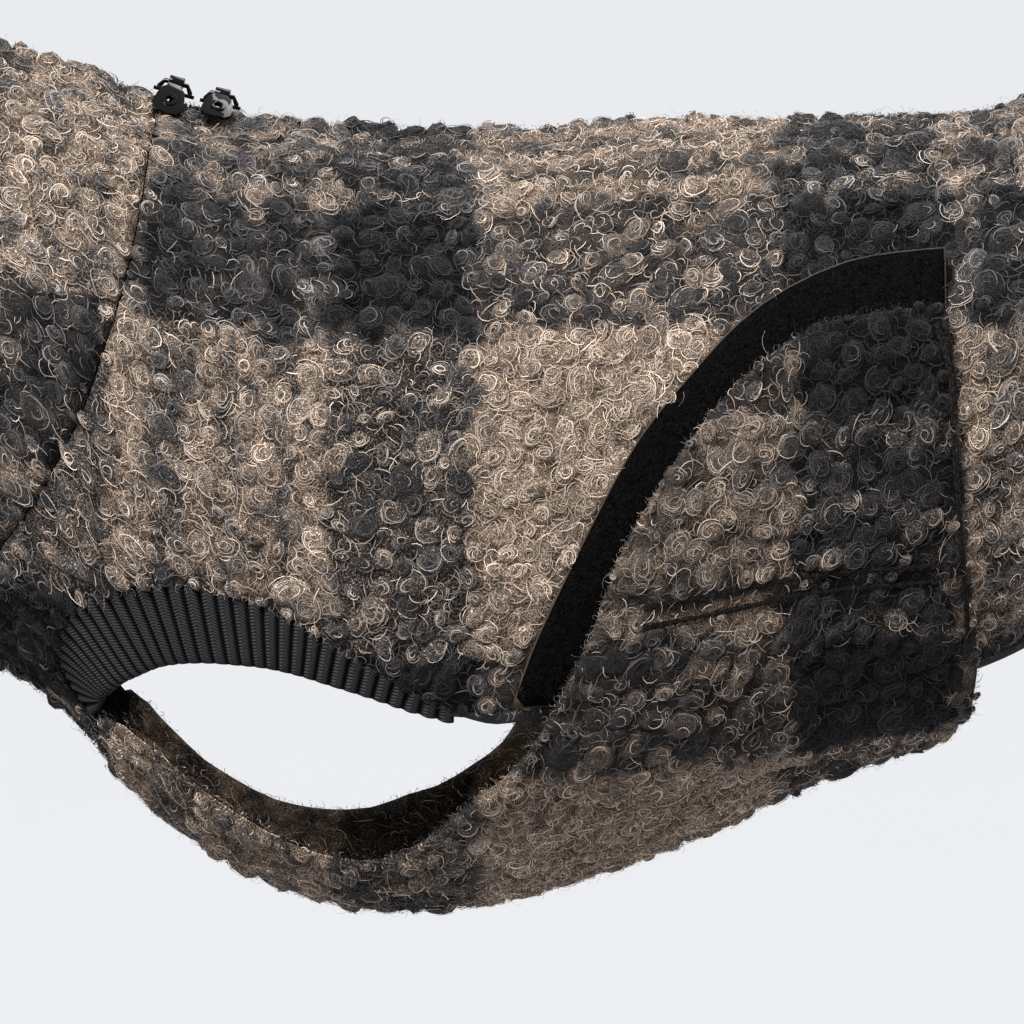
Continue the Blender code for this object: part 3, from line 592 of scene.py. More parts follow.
def make_shell(wall, material, grooves=None, parts=3, thick=WALL, pile=PILE, lumps=0.28):
    """Closed cloth piece under the curls: soft lumps, rounded edges and sunk topstitching."""
    spots, faces = subdivided(wall.spots, wall.outer, parts)
    flat = flattened(spots)
    rim = rim_edges(faces)
    from_rim = nearest(flat, along_edges(flat, rim, 3.0))
    from_rim[np.unique(rim)] = 0.0
    lump = lumps * (np.sin(spots[:, 0] / 5.3 + 1.3 * np.sin(flat[:, 1] / 7.9))
                   + np.sin(flat[:, 1] / 4.7 + 1.7 * np.sin(spots[:, 0] / 9.1)))
    high = spots[:, 2] - pile + lump
    low = spots[:, 2] - thick
    if grooves is not None:
        high -= GROOVE_DEPTH * np.exp(-(nearest(flat, grooves) / GROOVE_HALF) ** 2)
    round_off = 1.0 - np.sqrt(np.clip(1.0 - (1.0 - np.clip(from_rim / EDGE_RADIUS, 0, 1)) ** 2, 0, 1))
    middle = (high + low) / 2.0
    high = high + (middle + 0.25 - high) * round_off
    low = low + (middle - 0.25 - low) * round_off
    over = on_cloth(spots[:, 0], spots[:, 1], high)
    under = on_cloth(spots[:, 0], spots[:, 1], low)
    count = len(spots)
    sides = np.concatenate((np.stack((rim[:, 1], rim[:, 0], rim[:, 0] + count), 1),
                            np.stack((rim[:, 1], rim[:, 0] + count, rim[:, 1] + count), 1)))
    all_faces = np.concatenate((faces, faces[:, ::-1] + count, sides))
    cloth = cloth_place(spots, wall.shift)
    # The side map darkens the belly panel's flaps outside and carries the painted light inside the strap.
    dark = np.concatenate((darker_flaps(wall, spots), 0.9 * painted_inner_light(wall, spots)))
    maps = {"cloth": np.concatenate((cloth, cloth))[all_faces].reshape(-1, 2),
            "side": np.stack((dark, dark), 1)[all_faces].reshape(-1, 2),
            "rim": np.tile(from_rim * 0.1, 2)[all_faces].reshape(-1, 1) * np.ones((1, 2))}
    return mesh_object(wall.name + "_cloth", np.concatenate((over, under)), all_faces, material, maps)


def lap(along, turn):
    """How far the belly panel stands off the form, as in its solid."""
    rows = np.array([row for row in HEM if row[0] <= HEM_UNDER_FLAP])
    hem = hermite(rows[:, 0], rows[:, 1], np.maximum(along, HEM[0][0]))
    return LAP * (1.0 - smooth_step(hem + 0.02, hem + 0.13, np.minimum(turn, 2.0 - turn)))


# ---- curls and hairs ----

def between(low, high, size):
    return low + (high - low) * rng.random(size)


def either_way(size):
    return np.where(rng.random(size) < 0.5, -1.0, 1.0)


def darker_flaps(wall, spots):
    """Share of its brightness that a wall's wool has: the flaps' sides are darker than the belly."""
    if wall.name != "belly_panel":
        return np.ones(len(spots))
    return 0.66 + 0.34 * smooth_step(0.66, 0.84, np.minimum(spots[:, 1], 2.0 - spots[:, 1]))


def painted_inner_light(wall, spots):
    """Painted light: the strap's inside is paler towards its front, where light reaches into it."""
    if wall.name != "belly_panel":
        return np.ones(len(spots))
    return 1.0 + 1.9 * (1.0 - smooth_step(15.0, 75.0, spots[:, 0]))


def tree_of(name):
    points, triangles = node_triangles(name)
    return BVHTree.FromPolygons([Vector(p) for p in points * MM], triangles.tolist())


def uncovered(spots, covers):
    """Those spots over which no other piece lies."""
    if not covers:
        return spots
    start = on_cloth(spots[:, 0], spots[:, 1], spots[:, 2] + 0.15) * MM
    way = runs(spots[:, 0], spots[:, 1])[2]
    clear = [all(tree.ray_cast(Vector(a), Vector(b), 0.009)[0] is None for tree in covers)
             for a, b in zip(start, way)]
    return spots[np.array(clear)]


def scatter(wall, skin, spacing, covers=None, margin=0.6, reach=1e9):
    """Spots margin to reach mm inside a wall's edges that keep their distance: (near, far side) in mm."""
    triangles = wall.outer if skin == "outer" else wall.inner
    area = np.linalg.norm(crossed(on_cloth(*wall.spots.T), triangles), axis=1) / 2.0
    tries = int(area.sum() / min(spacing) ** 2 * 7)
    chosen = rng.choice(len(triangles), tries, p=area / area.sum())
    share = rng.random((tries, 2))
    share = np.where(share.sum(1, keepdims=True) > 1.0, 1.0 - share, share)
    weights = np.concatenate((1.0 - share.sum(1, keepdims=True), share), 1)
    spots = (wall.spots[triangles[chosen]] * weights[..., None]).sum(1)
    flat = flattened(spots)
    inside = nearest(flat, wall.edge_points)
    keep = (inside > margin) & (inside < reach)
    spots, flat = spots[keep], flat[keep]
    gap = np.where(spots[:, 1] < 1.0, spacing[0], spacing[1])
    cell = max(spacing)
    grid, kept = {}, []
    for i, (x, y) in enumerate(flat):
        column, row = int(x // cell), int(y // cell)
        around = [j for c in (column - 1, column, column + 1) for r in (row - 1, row, row + 1)
                  for j in grid.get((c, r), ())]
        if all((flat[j, 0] - x) ** 2 + (flat[j, 1] - y) ** 2 >= gap[i] ** 2 for j in around):
            grid.setdefault((column, row), []).append(i)
            kept.append(i)
    return uncovered(spots[kept], covers)


def ribbons(wall, name, roots, paths, out, half_width, roll, tint):
    """Flat fibres along local paths (n, m, 2) in mm round their roots, at heights out (n, m) off the form."""
    count, long = out.shape
    scale = girth(roots[:, 0], roots[:, 1])[:, None]
    run = np.gradient(paths, axis=1)
    side = unit(np.stack((-run[..., 1], run[..., 0]), -1))
    points = np.empty((count, long, 2, 3))
    for k, offset in enumerate((-1.0, 1.0)):
        reach = half_width * offset
        flat = paths + side * (reach * np.cos(roll))[..., None]
        points[:, :, k] = on_cloth(roots[:, None, 0] + flat[..., 0], roots[:, None, 1] + flat[..., 1] / scale,
                                   out + reach * np.sin(roll))
    index = np.arange(count * long * 2).reshape(count, long, 2)
    faces = np.stack((index[:, :-1, 0], index[:, 1:, 0], index[:, 1:, 1], index[:, :-1, 1]), -1)
    each = np.repeat(np.arange(count), (long - 1) * 4)
    maps = {"cloth": cloth_place(roots, wall.shift)[each], "tint": tint[each]}
    return dress(mesh_object(f"{wall.name}_{name}", points.reshape(-1, 3), faces.reshape(-1, 4), strand_wool, maps),
                 "boucle")


CURL_SPACING, FELT_SPACING, FUZZ_SPACING = (5.3, 6.7), (1.82, 2.46), (5.0, 7.4)    # mm on the near, far side
LINING_SPACING, FRINGE_SPACING = (2.7, 2.7), (0.9, 1.2)
PUFF_SIDES = 8
PUFF_LEVELS = ((0.48, 0.12), (0.98, 0.1), (1.36, 0.0))    # (radii from the middle, unevenness)
# Fibres wound round each curl: (radii from its middle, (least, most) share of a full turn).
WINDS = ((0.32, (0.35, 0.75)), (0.50, (0.35, 0.75)), (0.64, (0.35, 0.7)), (0.76, (0.3, 0.65)),
         (0.90, (0.3, 0.6)), (1.05, (0.25, 0.55)), (1.2, (0.2, 0.45)))
WOUND_HALF = 0.115        # mm, half the width of a wound fibre


class Curls:
    """Where a wall's curls lie, and the shape of each."""

    def __init__(self, wall, spacing, covers):
        spots = scatter(wall, "outer", spacing, covers)
        flat = flattened(spots)
        from_back = np.minimum(np.abs(spots[:, 1]), np.abs(2.0 - spots[:, 1]))
        by_zip = (spots[:, 0] < ZIP_END + 4) & (from_back < 0.06)
        overhang = np.where(by_zip, 2.2, 0.35)
        room = np.minimum(nearest(flat, GROOVE_POINTS) - 0.35, nearest(flat, wall.edge_points) + overhang)
        keep = room > 0.9
        self.wall, self.spots, self.room = wall, spots[keep], room[keep]
        count = len(self.spots)
        self.radius = np.minimum(np.clip(np.exp(rng.normal(1.16, 0.25, count)), 1.8, 5.2), self.room)
        self.spin = either_way(count)
        self.squeeze = between(0.6, 1.0, count)
        self.lie = between(0.0, math.pi, count)
        self.start = between(0.0, FULL, count)
        self.top = between(1.0, 2.6, count) * np.clip(self.radius / 2.6, 0.3, 1.0)
        self.top[rng.random(count) < 0.3] *= 0.55
        self.tilt = between(0.0, FULL, count)
        self.bright = np.exp(rng.normal(0.0, 0.15, count))
        self.bright[rng.random(count) < 0.06] *= 1.4
        self.bright *= darker_flaps(wall, self.spots)
        self.pick = rng.random(count)

    def place(self, away, angle):
        """Local mm of points at away (in radii) and angle round each curl."""
        x = away * np.cos(angle) * self.radius[:, None]
        y = away * np.sin(angle) * (self.radius * self.squeeze)[:, None]
        turn = self.lie[:, None]
        return np.stack((x * np.cos(turn) - y * np.sin(turn), x * np.sin(turn) + y * np.cos(turn)), -1)

    def height(self, away, angle):
        """Height of a curl's body over the ground: a ring round a dimple, higher on one side."""
        ring = np.exp(-((away - 0.5) / 0.55) ** 2)
        return self.top[:, None] * ring * (1.0 + 0.3 * np.sin(angle - self.tilt[:, None]) * np.clip(away, 0, 1))

    def puffs(self):
        count, sides, outmost = len(self.spots), PUFF_SIDES, PUFF_LEVELS[-1][0]
        angle = np.tile(np.arange(sides) / sides * FULL, (count, 1)) + between(0, 0.7, (count, 1))
        middle = np.zeros((count, 1))
        local, highs, rims = [np.zeros((count, 1, 2))], [0.6 * self.top[:, None]], [middle]
        for away, jitter in PUFF_LEVELS:
            reach = away * (1.0 + rng.normal(0.0, jitter, (count, sides)))
            local.append(self.place(reach, angle))
            highs.append(self.height(reach, angle) if away < outmost else np.full((count, sides), -0.5))
            rims.append(np.full((count, sides), away / outmost))
        local, high, rim = np.concatenate(local, 1), np.concatenate(highs, 1), np.concatenate(rims, 1)
        faces = []
        for k in range(sides):
            after = (k + 1) % sides
            faces.append((0, 1 + k, 1 + after))
            for level in range(len(PUFF_LEVELS) - 1):
                a, b = 1 + level * sides, 1 + (level + 1) * sides
                faces += [(a + k, b + k, b + after), (a + k, b + after, a + after)]
        faces = np.array(faces)
        size = local.shape[1]
        scale = girth(self.spots[:, 0], self.spots[:, 1])[:, None]
        points = on_cloth(self.spots[:, None, 0] + local[..., 0], self.spots[:, None, 1] + local[..., 1] / scale,
                          self.spots[:, 2, None] - PILE + high)
        all_faces = (np.arange(count)[:, None, None] * size + faces[None]).reshape(-1, 3)
        corners = all_faces.ravel()
        each = corners // size
        away = np.concatenate((middle, np.tile(np.repeat([v[0] for v in PUFF_LEVELS], sides), (count, 1))), 1)
        wound = self.place(away, np.concatenate((middle, np.tile(angle, (1, len(PUFF_LEVELS)))), 1))
        wound[..., 1] *= self.spin[:, None]
        cloth = cloth_place(self.spots, self.wall.shift)[:, None] + local * MM
        maps = {"cloth": cloth.reshape(-1, 2)[corners], "strand": wound.reshape(-1, 2)[corners] * MM,
                "tint": np.stack((self.bright, self.pick), 1)[each],
                "rim": np.stack((rim, rim), -1).reshape(-1, 2)[corners]}
        made = mesh_object(self.wall.name + "_puffs", points.reshape(-1, 3), all_faces, puff_wool, maps)
        return dress(made, "boucle")

    def fibres(self, number, away, sweep, long=8):
        """One fibre to each curl, wound partly round it at about away radii."""
        count = len(self.spots)
        s = np.linspace(0.0, 1.0, long)[None, :]
        angle = self.start[:, None] + rng.normal(0.0, 0.8, (count, 1)) + self.spin[:, None] * (
            between(*sweep, (count, 1)) * FULL * s)
        reach = away * between(0.86, 1.16, (count, 1)) * (1.0 - between(-0.25, 0.45, (count, 1)) * s)
        reach = reach * (1.0 + 0.07 * np.sin(3 * angle + between(0, 6, (count, 1))))
        reach = np.minimum(reach, (self.room / self.radius)[:, None] * between(0.85, 1.1, (count, 1)))
        off = rng.normal(0.0, 0.12, (count, 1, 2)) * self.radius[:, None, None]
        paths = self.place(reach, angle) + off
        lift = between(0.1, 0.6, (count, 1)) * np.sin(math.pi * (0.1 + 0.8 * s))
        lift = lift * np.clip(self.room / 2.5, 0.3, 1)[:, None]
        out = self.spots[:, 2, None] - PILE + self.height(reach, angle) + lift
        half_width = WOUND_HALF * between(0.75, 1.25, (count, 1)) * np.sin(math.pi * (0.06 + 0.88 * s)) ** 0.5
        roll = between(-0.6, 0.6, (count, 1))
        tint = np.stack((self.bright * np.exp(rng.normal(-0.17, 0.27, count)),
                         np.clip(self.pick + rng.normal(0, 0.38, count), 0, 1)), 1)
        return ribbons(self.wall, f"curl_{number}", self.spots, paths, out, half_width, roll, tint)


def walked(lean, length):
    """Local paths in the directions lean (n, m), length mm long."""
    step = np.stack((np.cos(lean), np.sin(lean)), -1) * (length / (lean.shape[1] - 1))[..., None]
    return np.cumsum(step, axis=1)


def add_felt(wall, name, spacing, covers=None, skin="outer", rise=(0.1, 2.0), dim=1.0, long=5):
    """Loose curved fibres in every direction between and over the curls."""
    spots = scatter(wall, skin, spacing, covers, 0.3)
    away = nearest(flattened(spots), GROOVE_POINTS)
    if skin == "outer":
        keep = away > 0.5 + 1.6 * rng.random(len(spots))
        spots, away = spots[keep], away[keep]
    count = len(spots)
    s = np.linspace(0.0, 1.0, long)[None, :]
    bend = between(0.4, 3.2, (count, 1)) * either_way((count, 1))
    lean = between(0.0, FULL, (count, 1)) + bend * s
    edge = nearest(flattened(spots), wall.edge_points)
    length = np.minimum(between(2.5, 7.0, (count, 1)), 1.6 * np.minimum(away, edge + 0.6)[:, None])
    paths = walked(lean, length)
    paths -= paths.mean(1, keepdims=True)
    near = np.minimum(away / 3.0, 1.0)[:, None]
    high = between(*rise, (count, 1)) * (0.35 + 0.65 * near) * np.sin(
        math.pi * (0.1 + between(0.7, 0.9, (count, 1)) * s))
    out = spots[:, 2, None] - PILE + high if skin == "outer" else spots[:, 2, None] - 0.05 - high
    half_width = between(0.08, 0.135, (count, 1)) * np.sin(math.pi * (0.08 + 0.84 * s)) ** 0.5
    light = dim * (darker_flaps if skin == "outer" else painted_inner_light)(wall, spots)
    tint = np.stack((light * np.exp(rng.normal(-0.2, 0.36, count)), rng.random(count)), 1)
    return ribbons(wall, name, spots, paths, out, half_width, between(-0.7, 0.7, (count, 1)), tint)


def add_fuzz(wall, spacing, covers, reach=(1.4, 3.6)):
    """Fine loose hairs that stand off the cloth."""
    spots = scatter(wall, "outer", spacing, covers, 0.1)
    count, long = len(spots), 6
    s = np.linspace(0.0, 1.0, long)[None, :]
    lean = between(0.0, FULL, (count, 1)) + between(-3.0, 3.0, (count, 1)) * s
    paths = walked(lean, between(3.0, 7.0, (count, 1)))
    rise = between(*reach, (count, 1)) * np.sin(s * between(1.2, 2.8, (count, 1)))
    half_width = 0.055 * (1.0 - 0.5 * s) * np.ones((count, 1))
    tint = np.stack((between(0.5, 1.2, count), rng.random(count)), 1)
    return ribbons(wall, "fuzz", spots, paths, spots[:, 2, None] - PILE + rise, half_width, 0.6, tint)


def add_fringe(wall, covers, skin="outer"):
    """Short curved hairs that reach out over the cloth's open edges, and not over its seams."""
    spots = scatter(wall, skin, FRINGE_SPACING, covers, 0.05, 1.3)
    spots = spots[nearest(flattened(spots), GROOVE_POINTS) > 3.5]
    flat = flattened(spots)
    found = found_nearest(flat, wall.edge_points)
    way = np.array([[f[0][0], f[0][1]] for f in found]) - flat
    inside = np.array([f[2] for f in found])
    count, long = len(spots), 5
    s = np.linspace(0.0, 1.0, long)[None, :]
    bend = between(0.8, 3.2, (count, 1)) * either_way((count, 1))
    lean = np.arctan2(way[:, 1], way[:, 0])[:, None] + rng.normal(0.0, 0.7, (count, 1)) + bend * (s - 0.4)
    paths = walked(lean, inside[:, None] + between(0.5, 2.2, (count, 1)))
    paths = paths - paths[:, :1]
    base = spots[:, 2, None] - PILE if skin == "outer" else spots[:, 2, None] + 0.4
    out = base + between(-0.9, 0.9, (count, 1)) + between(-0.4, 0.3, (count, 1)) * s
    half_width = between(0.05, 0.1, (count, 1)) * (1.0 - 0.6 * s)
    tint = np.stack((darker_flaps(wall, spots) * np.exp(rng.normal(-0.25, 0.35, count)), rng.random(count)), 1)
    return ribbons(wall, f"{skin}_fringe", spots, paths, out, half_width, between(-0.7, 0.7, (count, 1)), tint)


# ---- pattern curves ----

def spline(rows, step):
    """Catmull-Rom curve through pattern rows, a point about every step mm."""
    ends = [rows[0], *rows, rows[-1]]
    found = []
    for a, b, c, d in zip(ends, ends[1:], ends[2:], ends[3:]):
        length = math.hypot(c[0] - b[0], (c[1] - b[1]) * float(girth(b[0], b[1])))
        count = max(1, round(length / step))
        for i in range(count):
            u = i / count
            found.append([0.5 * (2 * b[k] + (c[k] - a[k]) * u + (2 * a[k] - 5 * b[k] + 4 * c[k] - d[k]) * u * u
                                 + (3 * b[k] - a[k] - 3 * c[k] + d[k]) * u**3) for k in (0, 1)])
    return np.array(found + [list(rows[-1])])


def beside(points, distance):
    """The curve moved sideways by distance mm, to the left of its run."""
    before = np.concatenate((points[:1], points[:-1]))
    after = np.concatenate((points[1:], points[-1:]))
    scale = girth(points[:, 0], points[:, 1])
    run = unit(np.stack((after[:, 0] - before[:, 0], (after[:, 1] - before[:, 1]) * scale), 1))
    return np.stack((points[:, 0] - run[:, 1] * distance, points[:, 1] + run[:, 0] * distance / scale), 1)


def resampled(points, count):
    length = run_length(on_cloth(points[:, 0], points[:, 1], 1.0))
    wanted = np.linspace(0.0, length[-1], count + 1)
    return np.stack([np.interp(wanted, length, points[:, k]) for k in (0, 1)], 1), length[-1]


def grid_object(name, points, material, place):
    """A tube of points (n, m, 3) with its ends closed; place is each point's (n, m, 2) on the cloth."""
    rows, ring = points.shape[:2]
    index = np.arange(rows * ring).reshape(rows, ring)
    after = np.roll(index, -1, axis=1)
    faces = np.stack((index[:-1], index[1:], after[1:], after[:-1]), -1).reshape(-1, 4)
    made = mesh_object(name, points.reshape(-1, 3), faces, material, {"cloth": place.reshape(-1, 2)[faces.ravel()]})
    work = bmesh.new()
    work.from_mesh(made.data)
    work.verts.ensure_lookup_table()
    for start in (0, (rows - 1) * ring):
        corners = [work.verts[start + k] for k in range(ring)]
        work.faces.new(corners if start else corners[::-1])
    work.to_mesh(made.data)
    work.free()
    return made


def mirrored(thing, name, slot, *nodes):
    """The same piece on the far side."""
    mesh = thing.data.copy()
    mesh.name = name
    points = read_points(mesh)
    points[:, 1] *= -1.0
    mesh.vertices.foreach_set("co", points.ravel())
    mesh.flip_normals()
    return dress(placed(name, mesh), slot, *nodes)


# ---- cuffs, binding, zip and metal ----
RIB_PITCH, RIB_STEPS = 4.7, 8
CUFF_ROWS = 18
# (share of the sewn edge, share of the free edge) of a rib: they crowd at the front corner.
RIB_FAN = ((0.0, 0.0), (0.1, 0.018), (0.2, 0.06), (0.312, 0.165), (0.385, 0.237), (0.48, 0.333), (0.562, 0.435),
           (0.623, 0.505), (0.688, 0.575), (0.755, 0.65), (0.843, 0.765), (0.925, 0.878), (1.0, 1.0))
BINDING_HEIGHT, BINDING_RING = 4.0, 14
ZIP_ROWS = 80
ZIP_SECTION = np.array(((-10.0, -1.4), (-10.0, -0.6), (-2.2, -0.5), (-1.9, 0.7), (1.9, 0.7), (2.2, -0.5),
                        (10.0, -0.6), (10.0, -1.4), (3.0, -1.4), (-3.0, -1.4)))
TOOTH_PITCH, TOOTH_LEAN = 1.5, 0.55
TOOTH_FACES = ((0, 1, 5, 4), (1, 2, 6, 5), (2, 3, 7, 6), (3, 0, 4, 7), (4, 5, 9, 8), (5, 6, 10, 9), (6, 7, 11, 10),
               (7, 4, 8, 11), (8, 9, 10, 11), (3, 2, 1, 0))


def make_cuff(material):
    """Rib-knit band: ribs fan out from its front corner; its sewn edge is tucked under the wool."""
    armhole = spline(ARMHOLE, 3.0)
    _, length = resampled(beside(armhole, SEAM_GAP), 10)
    count = round(length / RIB_PITCH) * RIB_STEPS
    upper, _ = resampled(beside(armhole, -1.1), count)
    fine, _ = resampled(spline(CUFF_EDGE, 3.0), 2000)
    fan = np.interp(np.linspace(0.0, 1.0, count + 1), *np.array(RIB_FAN).T)
    lower = np.stack([np.interp(fan * 2000, np.arange(2001), fine[:, k]) for k in (0, 1)], 1)
    share = np.linspace(0.0, 1.0, CUFF_ROWS + 1)[None, :]
    along = upper[:, :1] + (lower[:, :1] - upper[:, :1]) * share
    turn = upper[:, 1:] + (lower[:, 1:] - upper[:, 1:]) * share
    phase = (np.arange(count + 1) / RIB_STEPS % 1.0)[:, None]
    places = on_cloth(along, turn, 1.0)
    down = np.concatenate((np.zeros((count + 1, 1)), np.cumsum(np.linalg.norm(np.diff(places, axis=1), axis=2), 1)), 1)
    ridge = np.sin(math.pi * phase) ** 0.6
    tucked = smooth_step(0.0, 0.12, share)
    edge = np.sin((0.5 + 0.5 * share**14) * math.pi)
    outer = 0.35 + (0.35 + 2.1 * ridge) * (0.25 + 0.75 * tucked) * (0.25 + 0.75 * edge)
    inner = 0.05 + 0.2 * (1 - edge)
    over, under = on_cloth(along, turn, outer), on_cloth(along, turn, inner * np.ones_like(outer))
    points = np.concatenate((over, under[:, ::-2]), axis=1)
    across = np.arange(count + 1)[:, None] / RIB_STEPS * np.ones((1, CUFF_ROWS + 1))
    place = np.stack((across, down), -1)
    cuff = grid_object("cuff_left_knit", points, material, np.concatenate((place, place[:, ::-2]), axis=1))
    return dress(cuff, "rib_knit", "cuff_left")


def make_binding(material):
    """Folded braid round the hem: a flattened tube on both sides of the cloth's edge."""
    sewn = spline(HEM, 2.6)
    near, below = beside(sewn, -1.0), beside(sewn, BINDING_HEIGHT)
    near[-1] = (HEM[-1][0] - 1.0, 0.0)
    near[0, 0] -= 2.2
    below[0, 0] -= 2.2
    below[-1] = (HEM[-1][0] + BINDING_HEIGHT, 0.0)
    edge = np.concatenate((near, near[-2::-1] * (1, -1)))
    low = np.concatenate((below, below[-2::-1] * (1, -1)))
    angle = np.arange(BINDING_RING) / BINDING_RING * FULL
    across = 0.5 + 0.47 * np.sign(np.cos(angle)) * np.abs(np.cos(angle)) ** 0.6
    out = 1.38 + 1.12 * np.sign(np.sin(angle)) * np.abs(np.sin(angle)) ** 0.6
    out = out - 1.1 * np.clip(0.3 - across, 0.0, 0.3) / 0.3 * (out > 1.4)
    rank = np.minimum(np.arange(len(edge)), np.arange(len(edge))[::-1])
    grown = smooth_step(0.0, 4.0, rank)[:, None]
    spots = edge[:, None] + (low - edge)[:, None] * (across[None, :] * (0.45 + 0.55 * grown))[..., None]
    waves = 0.05 * np.sin(np.arange(len(edge)) * 1.9)[:, None]
    points = on_cloth(spots[..., 0], spots[..., 1], 0.9 + (out[None, :] - 0.9) * (0.25 + 0.75 * grown) + waves)
    run = run_length(points[:, 0])
    place = np.stack(np.broadcast_arrays(run[:, None], (angle * 1.6)[None, :]), -1) * MM
    return dress(grid_object("hem_braid", points, material, place), "binding", "hem_binding")


def make_zip(material, teeth_material):
    """Tape and the interlocked teeth of the closed zip."""
    along = np.linspace(ZIP_START, ZIP_END, ZIP_ROWS + 1)
    points = on_cloth(along[:, None], ZIP_SECTION[None, :, 0] / girth(along, 0.0)[:, None],
                      np.tile(ZIP_SECTION[:, 1], (ZIP_ROWS + 1, 1)))
    place = np.stack(np.broadcast_arrays(along[:, None], ZIP_SECTION[None, :, 0]), -1) * MM
    tape = dress(grid_object("zip_tape", points, material, place), "zip", "zip_chain")
    block = np.array([(x, y, z) for z in (0.6, 1.6, 2.3)
                      for x, y in ((-0.5, -1.0), (0.5, -1.0), (0.5, 1.0), (-0.5, 1.0))])
    block[4:8, :2] *= 1.05
    block[8:, :2] *= 0.72
    spots, faces = [], []
    for i in range(int((ZIP_END - ZIP_START - 4.0) / TOOTH_PITCH)):
        at = ZIP_START + 2.0 + TOOTH_PITCH * i
        lean = TOOTH_LEAN if i % 2 else -TOOTH_LEAN
        spots.append(np.stack((at + block[:, 0], (block[:, 1] + lean) / girth(at, 0.0), block[:, 2]), 1))
        faces += [[len(block) * i + k for k in face] for face in TOOTH_FACES]
    spots = np.concatenate(spots)
    teeth = mesh_object("zip_teeth", on_cloth(*spots.T), np.array(faces), teeth_material, smooth=False)
    return tape, dress(teeth, "zip")


def make_hardware(name, material, body):
    """Rounded copy of a slider or pull tab."""
    mesh = NODES[name].data.copy()
    made = placed(name + "_enamel", mesh)
    work = bmesh.new()
    work.from_mesh(mesh)
    bmesh.ops.remove_doubles(work, verts=work.verts, dist=1e-6)
    bmesh.ops.dissolve_limit(work, angle_limit=math.radians(1.5), verts=work.verts, edges=work.edges)
    work.to_mesh(mesh)
    work.free()
    mesh.materials.clear()
    mesh.materials.append(material)
    bevel = made.modifiers.new("edge", "BEVEL")
    bevel.width, bevel.segments, bevel.angle_limit = 0.00022, 3, math.radians(28)
    bevel.harden_normals = True
    mesh.shade_smooth()
    return dress(made, "black_metal", name, body=body)


# ---- stitches and the bands of painted shade under them ----
STITCH_PITCH, STITCH_LENGTH, STITCH_HALF = 3.0, 2.1, 0.22
STITCH_PROFILE = ((-0.5, 0.25), (-0.36, 0.85), (0.0, 1.0), (0.36, 0.85), (0.5, 0.25))
STITCH_SIDES = 6


def stitches(name, rows, material):
    """Thread stitches along pattern curves: rows of (along, turn, out) arrays."""
    points, faces = [], []
    ring = np.array([(math.cos(a), math.sin(a)) for a in np.arange(STITCH_SIDES) / STITCH_SIDES * FULL])
    for along, turn, out in rows:
        places = on_cloth(along, turn, out)
        normal = runs(along, turn)[2]
        run = run_length(places)
        for at in np.arange(STITCH_PITCH, run[-1] - STITCH_PITCH, STITCH_PITCH):
            centre, ahead, up = (np.array([np.interp(where, run, values[:, k]) for k in range(3)])
                                 for where, values in ((at, places), (at + 0.4, places), (at, normal)))
            ahead = unit(ahead - centre)
            side = np.cross(ahead, up)
            base = len(points) * STITCH_SIDES
            for shift, wide in STITCH_PROFILE:
                points.append(centre + ahead * shift * STITCH_LENGTH
                              + (ring[:, :1] * side + ring[:, 1:] * up) * STITCH_HALF * wide)
            for level in range(len(STITCH_PROFILE) - 1):
                for k in range(STITCH_SIDES):
                    a, b = (base + level * STITCH_SIDES + j % STITCH_SIDES for j in (k, k + 1))
                    faces.append((a, b, b + STITCH_SIDES, a + STITCH_SIDES))
    return dress(mesh_object(name, np.concatenate(points), np.array(faces), material), "boucle")


def curve_strip(name, rows, half, material, out, ripple=0.0):
    """A narrow band along a pattern curve, half mm to either side."""
    along, turn = rows
    path = np.stack((along, turn), 1)
    count = np.arange(len(along))
    wide = half * (1.0 + ripple * np.sin(count * 2.3) * np.sin(count * 0.71))
    a, b = (path + (beside(path, way) - path) * wide[:, None] for way in (1.0, -1.0))
    points = np.stack((on_cloth(a[:, 0], a[:, 1], out), on_cloth(b[:, 0], b[:, 1], out)), 1)
    index = np.arange(2 * len(along)).reshape(-1, 2)
    faces = np.stack((index[:-1, 0], index[1:, 0], index[1:, 1], index[:-1, 1]), 1)
    side = np.tile((0.0, 2.0 * half * MM), len(along))
    maps = {"cloth": np.stack((side, np.repeat(run_length(points[:, 0]) * MM, 2)), 1)[faces.ravel()]}
    return dress(mesh_object(name, points.reshape(-1, 3), faces, material, maps), "boucle")


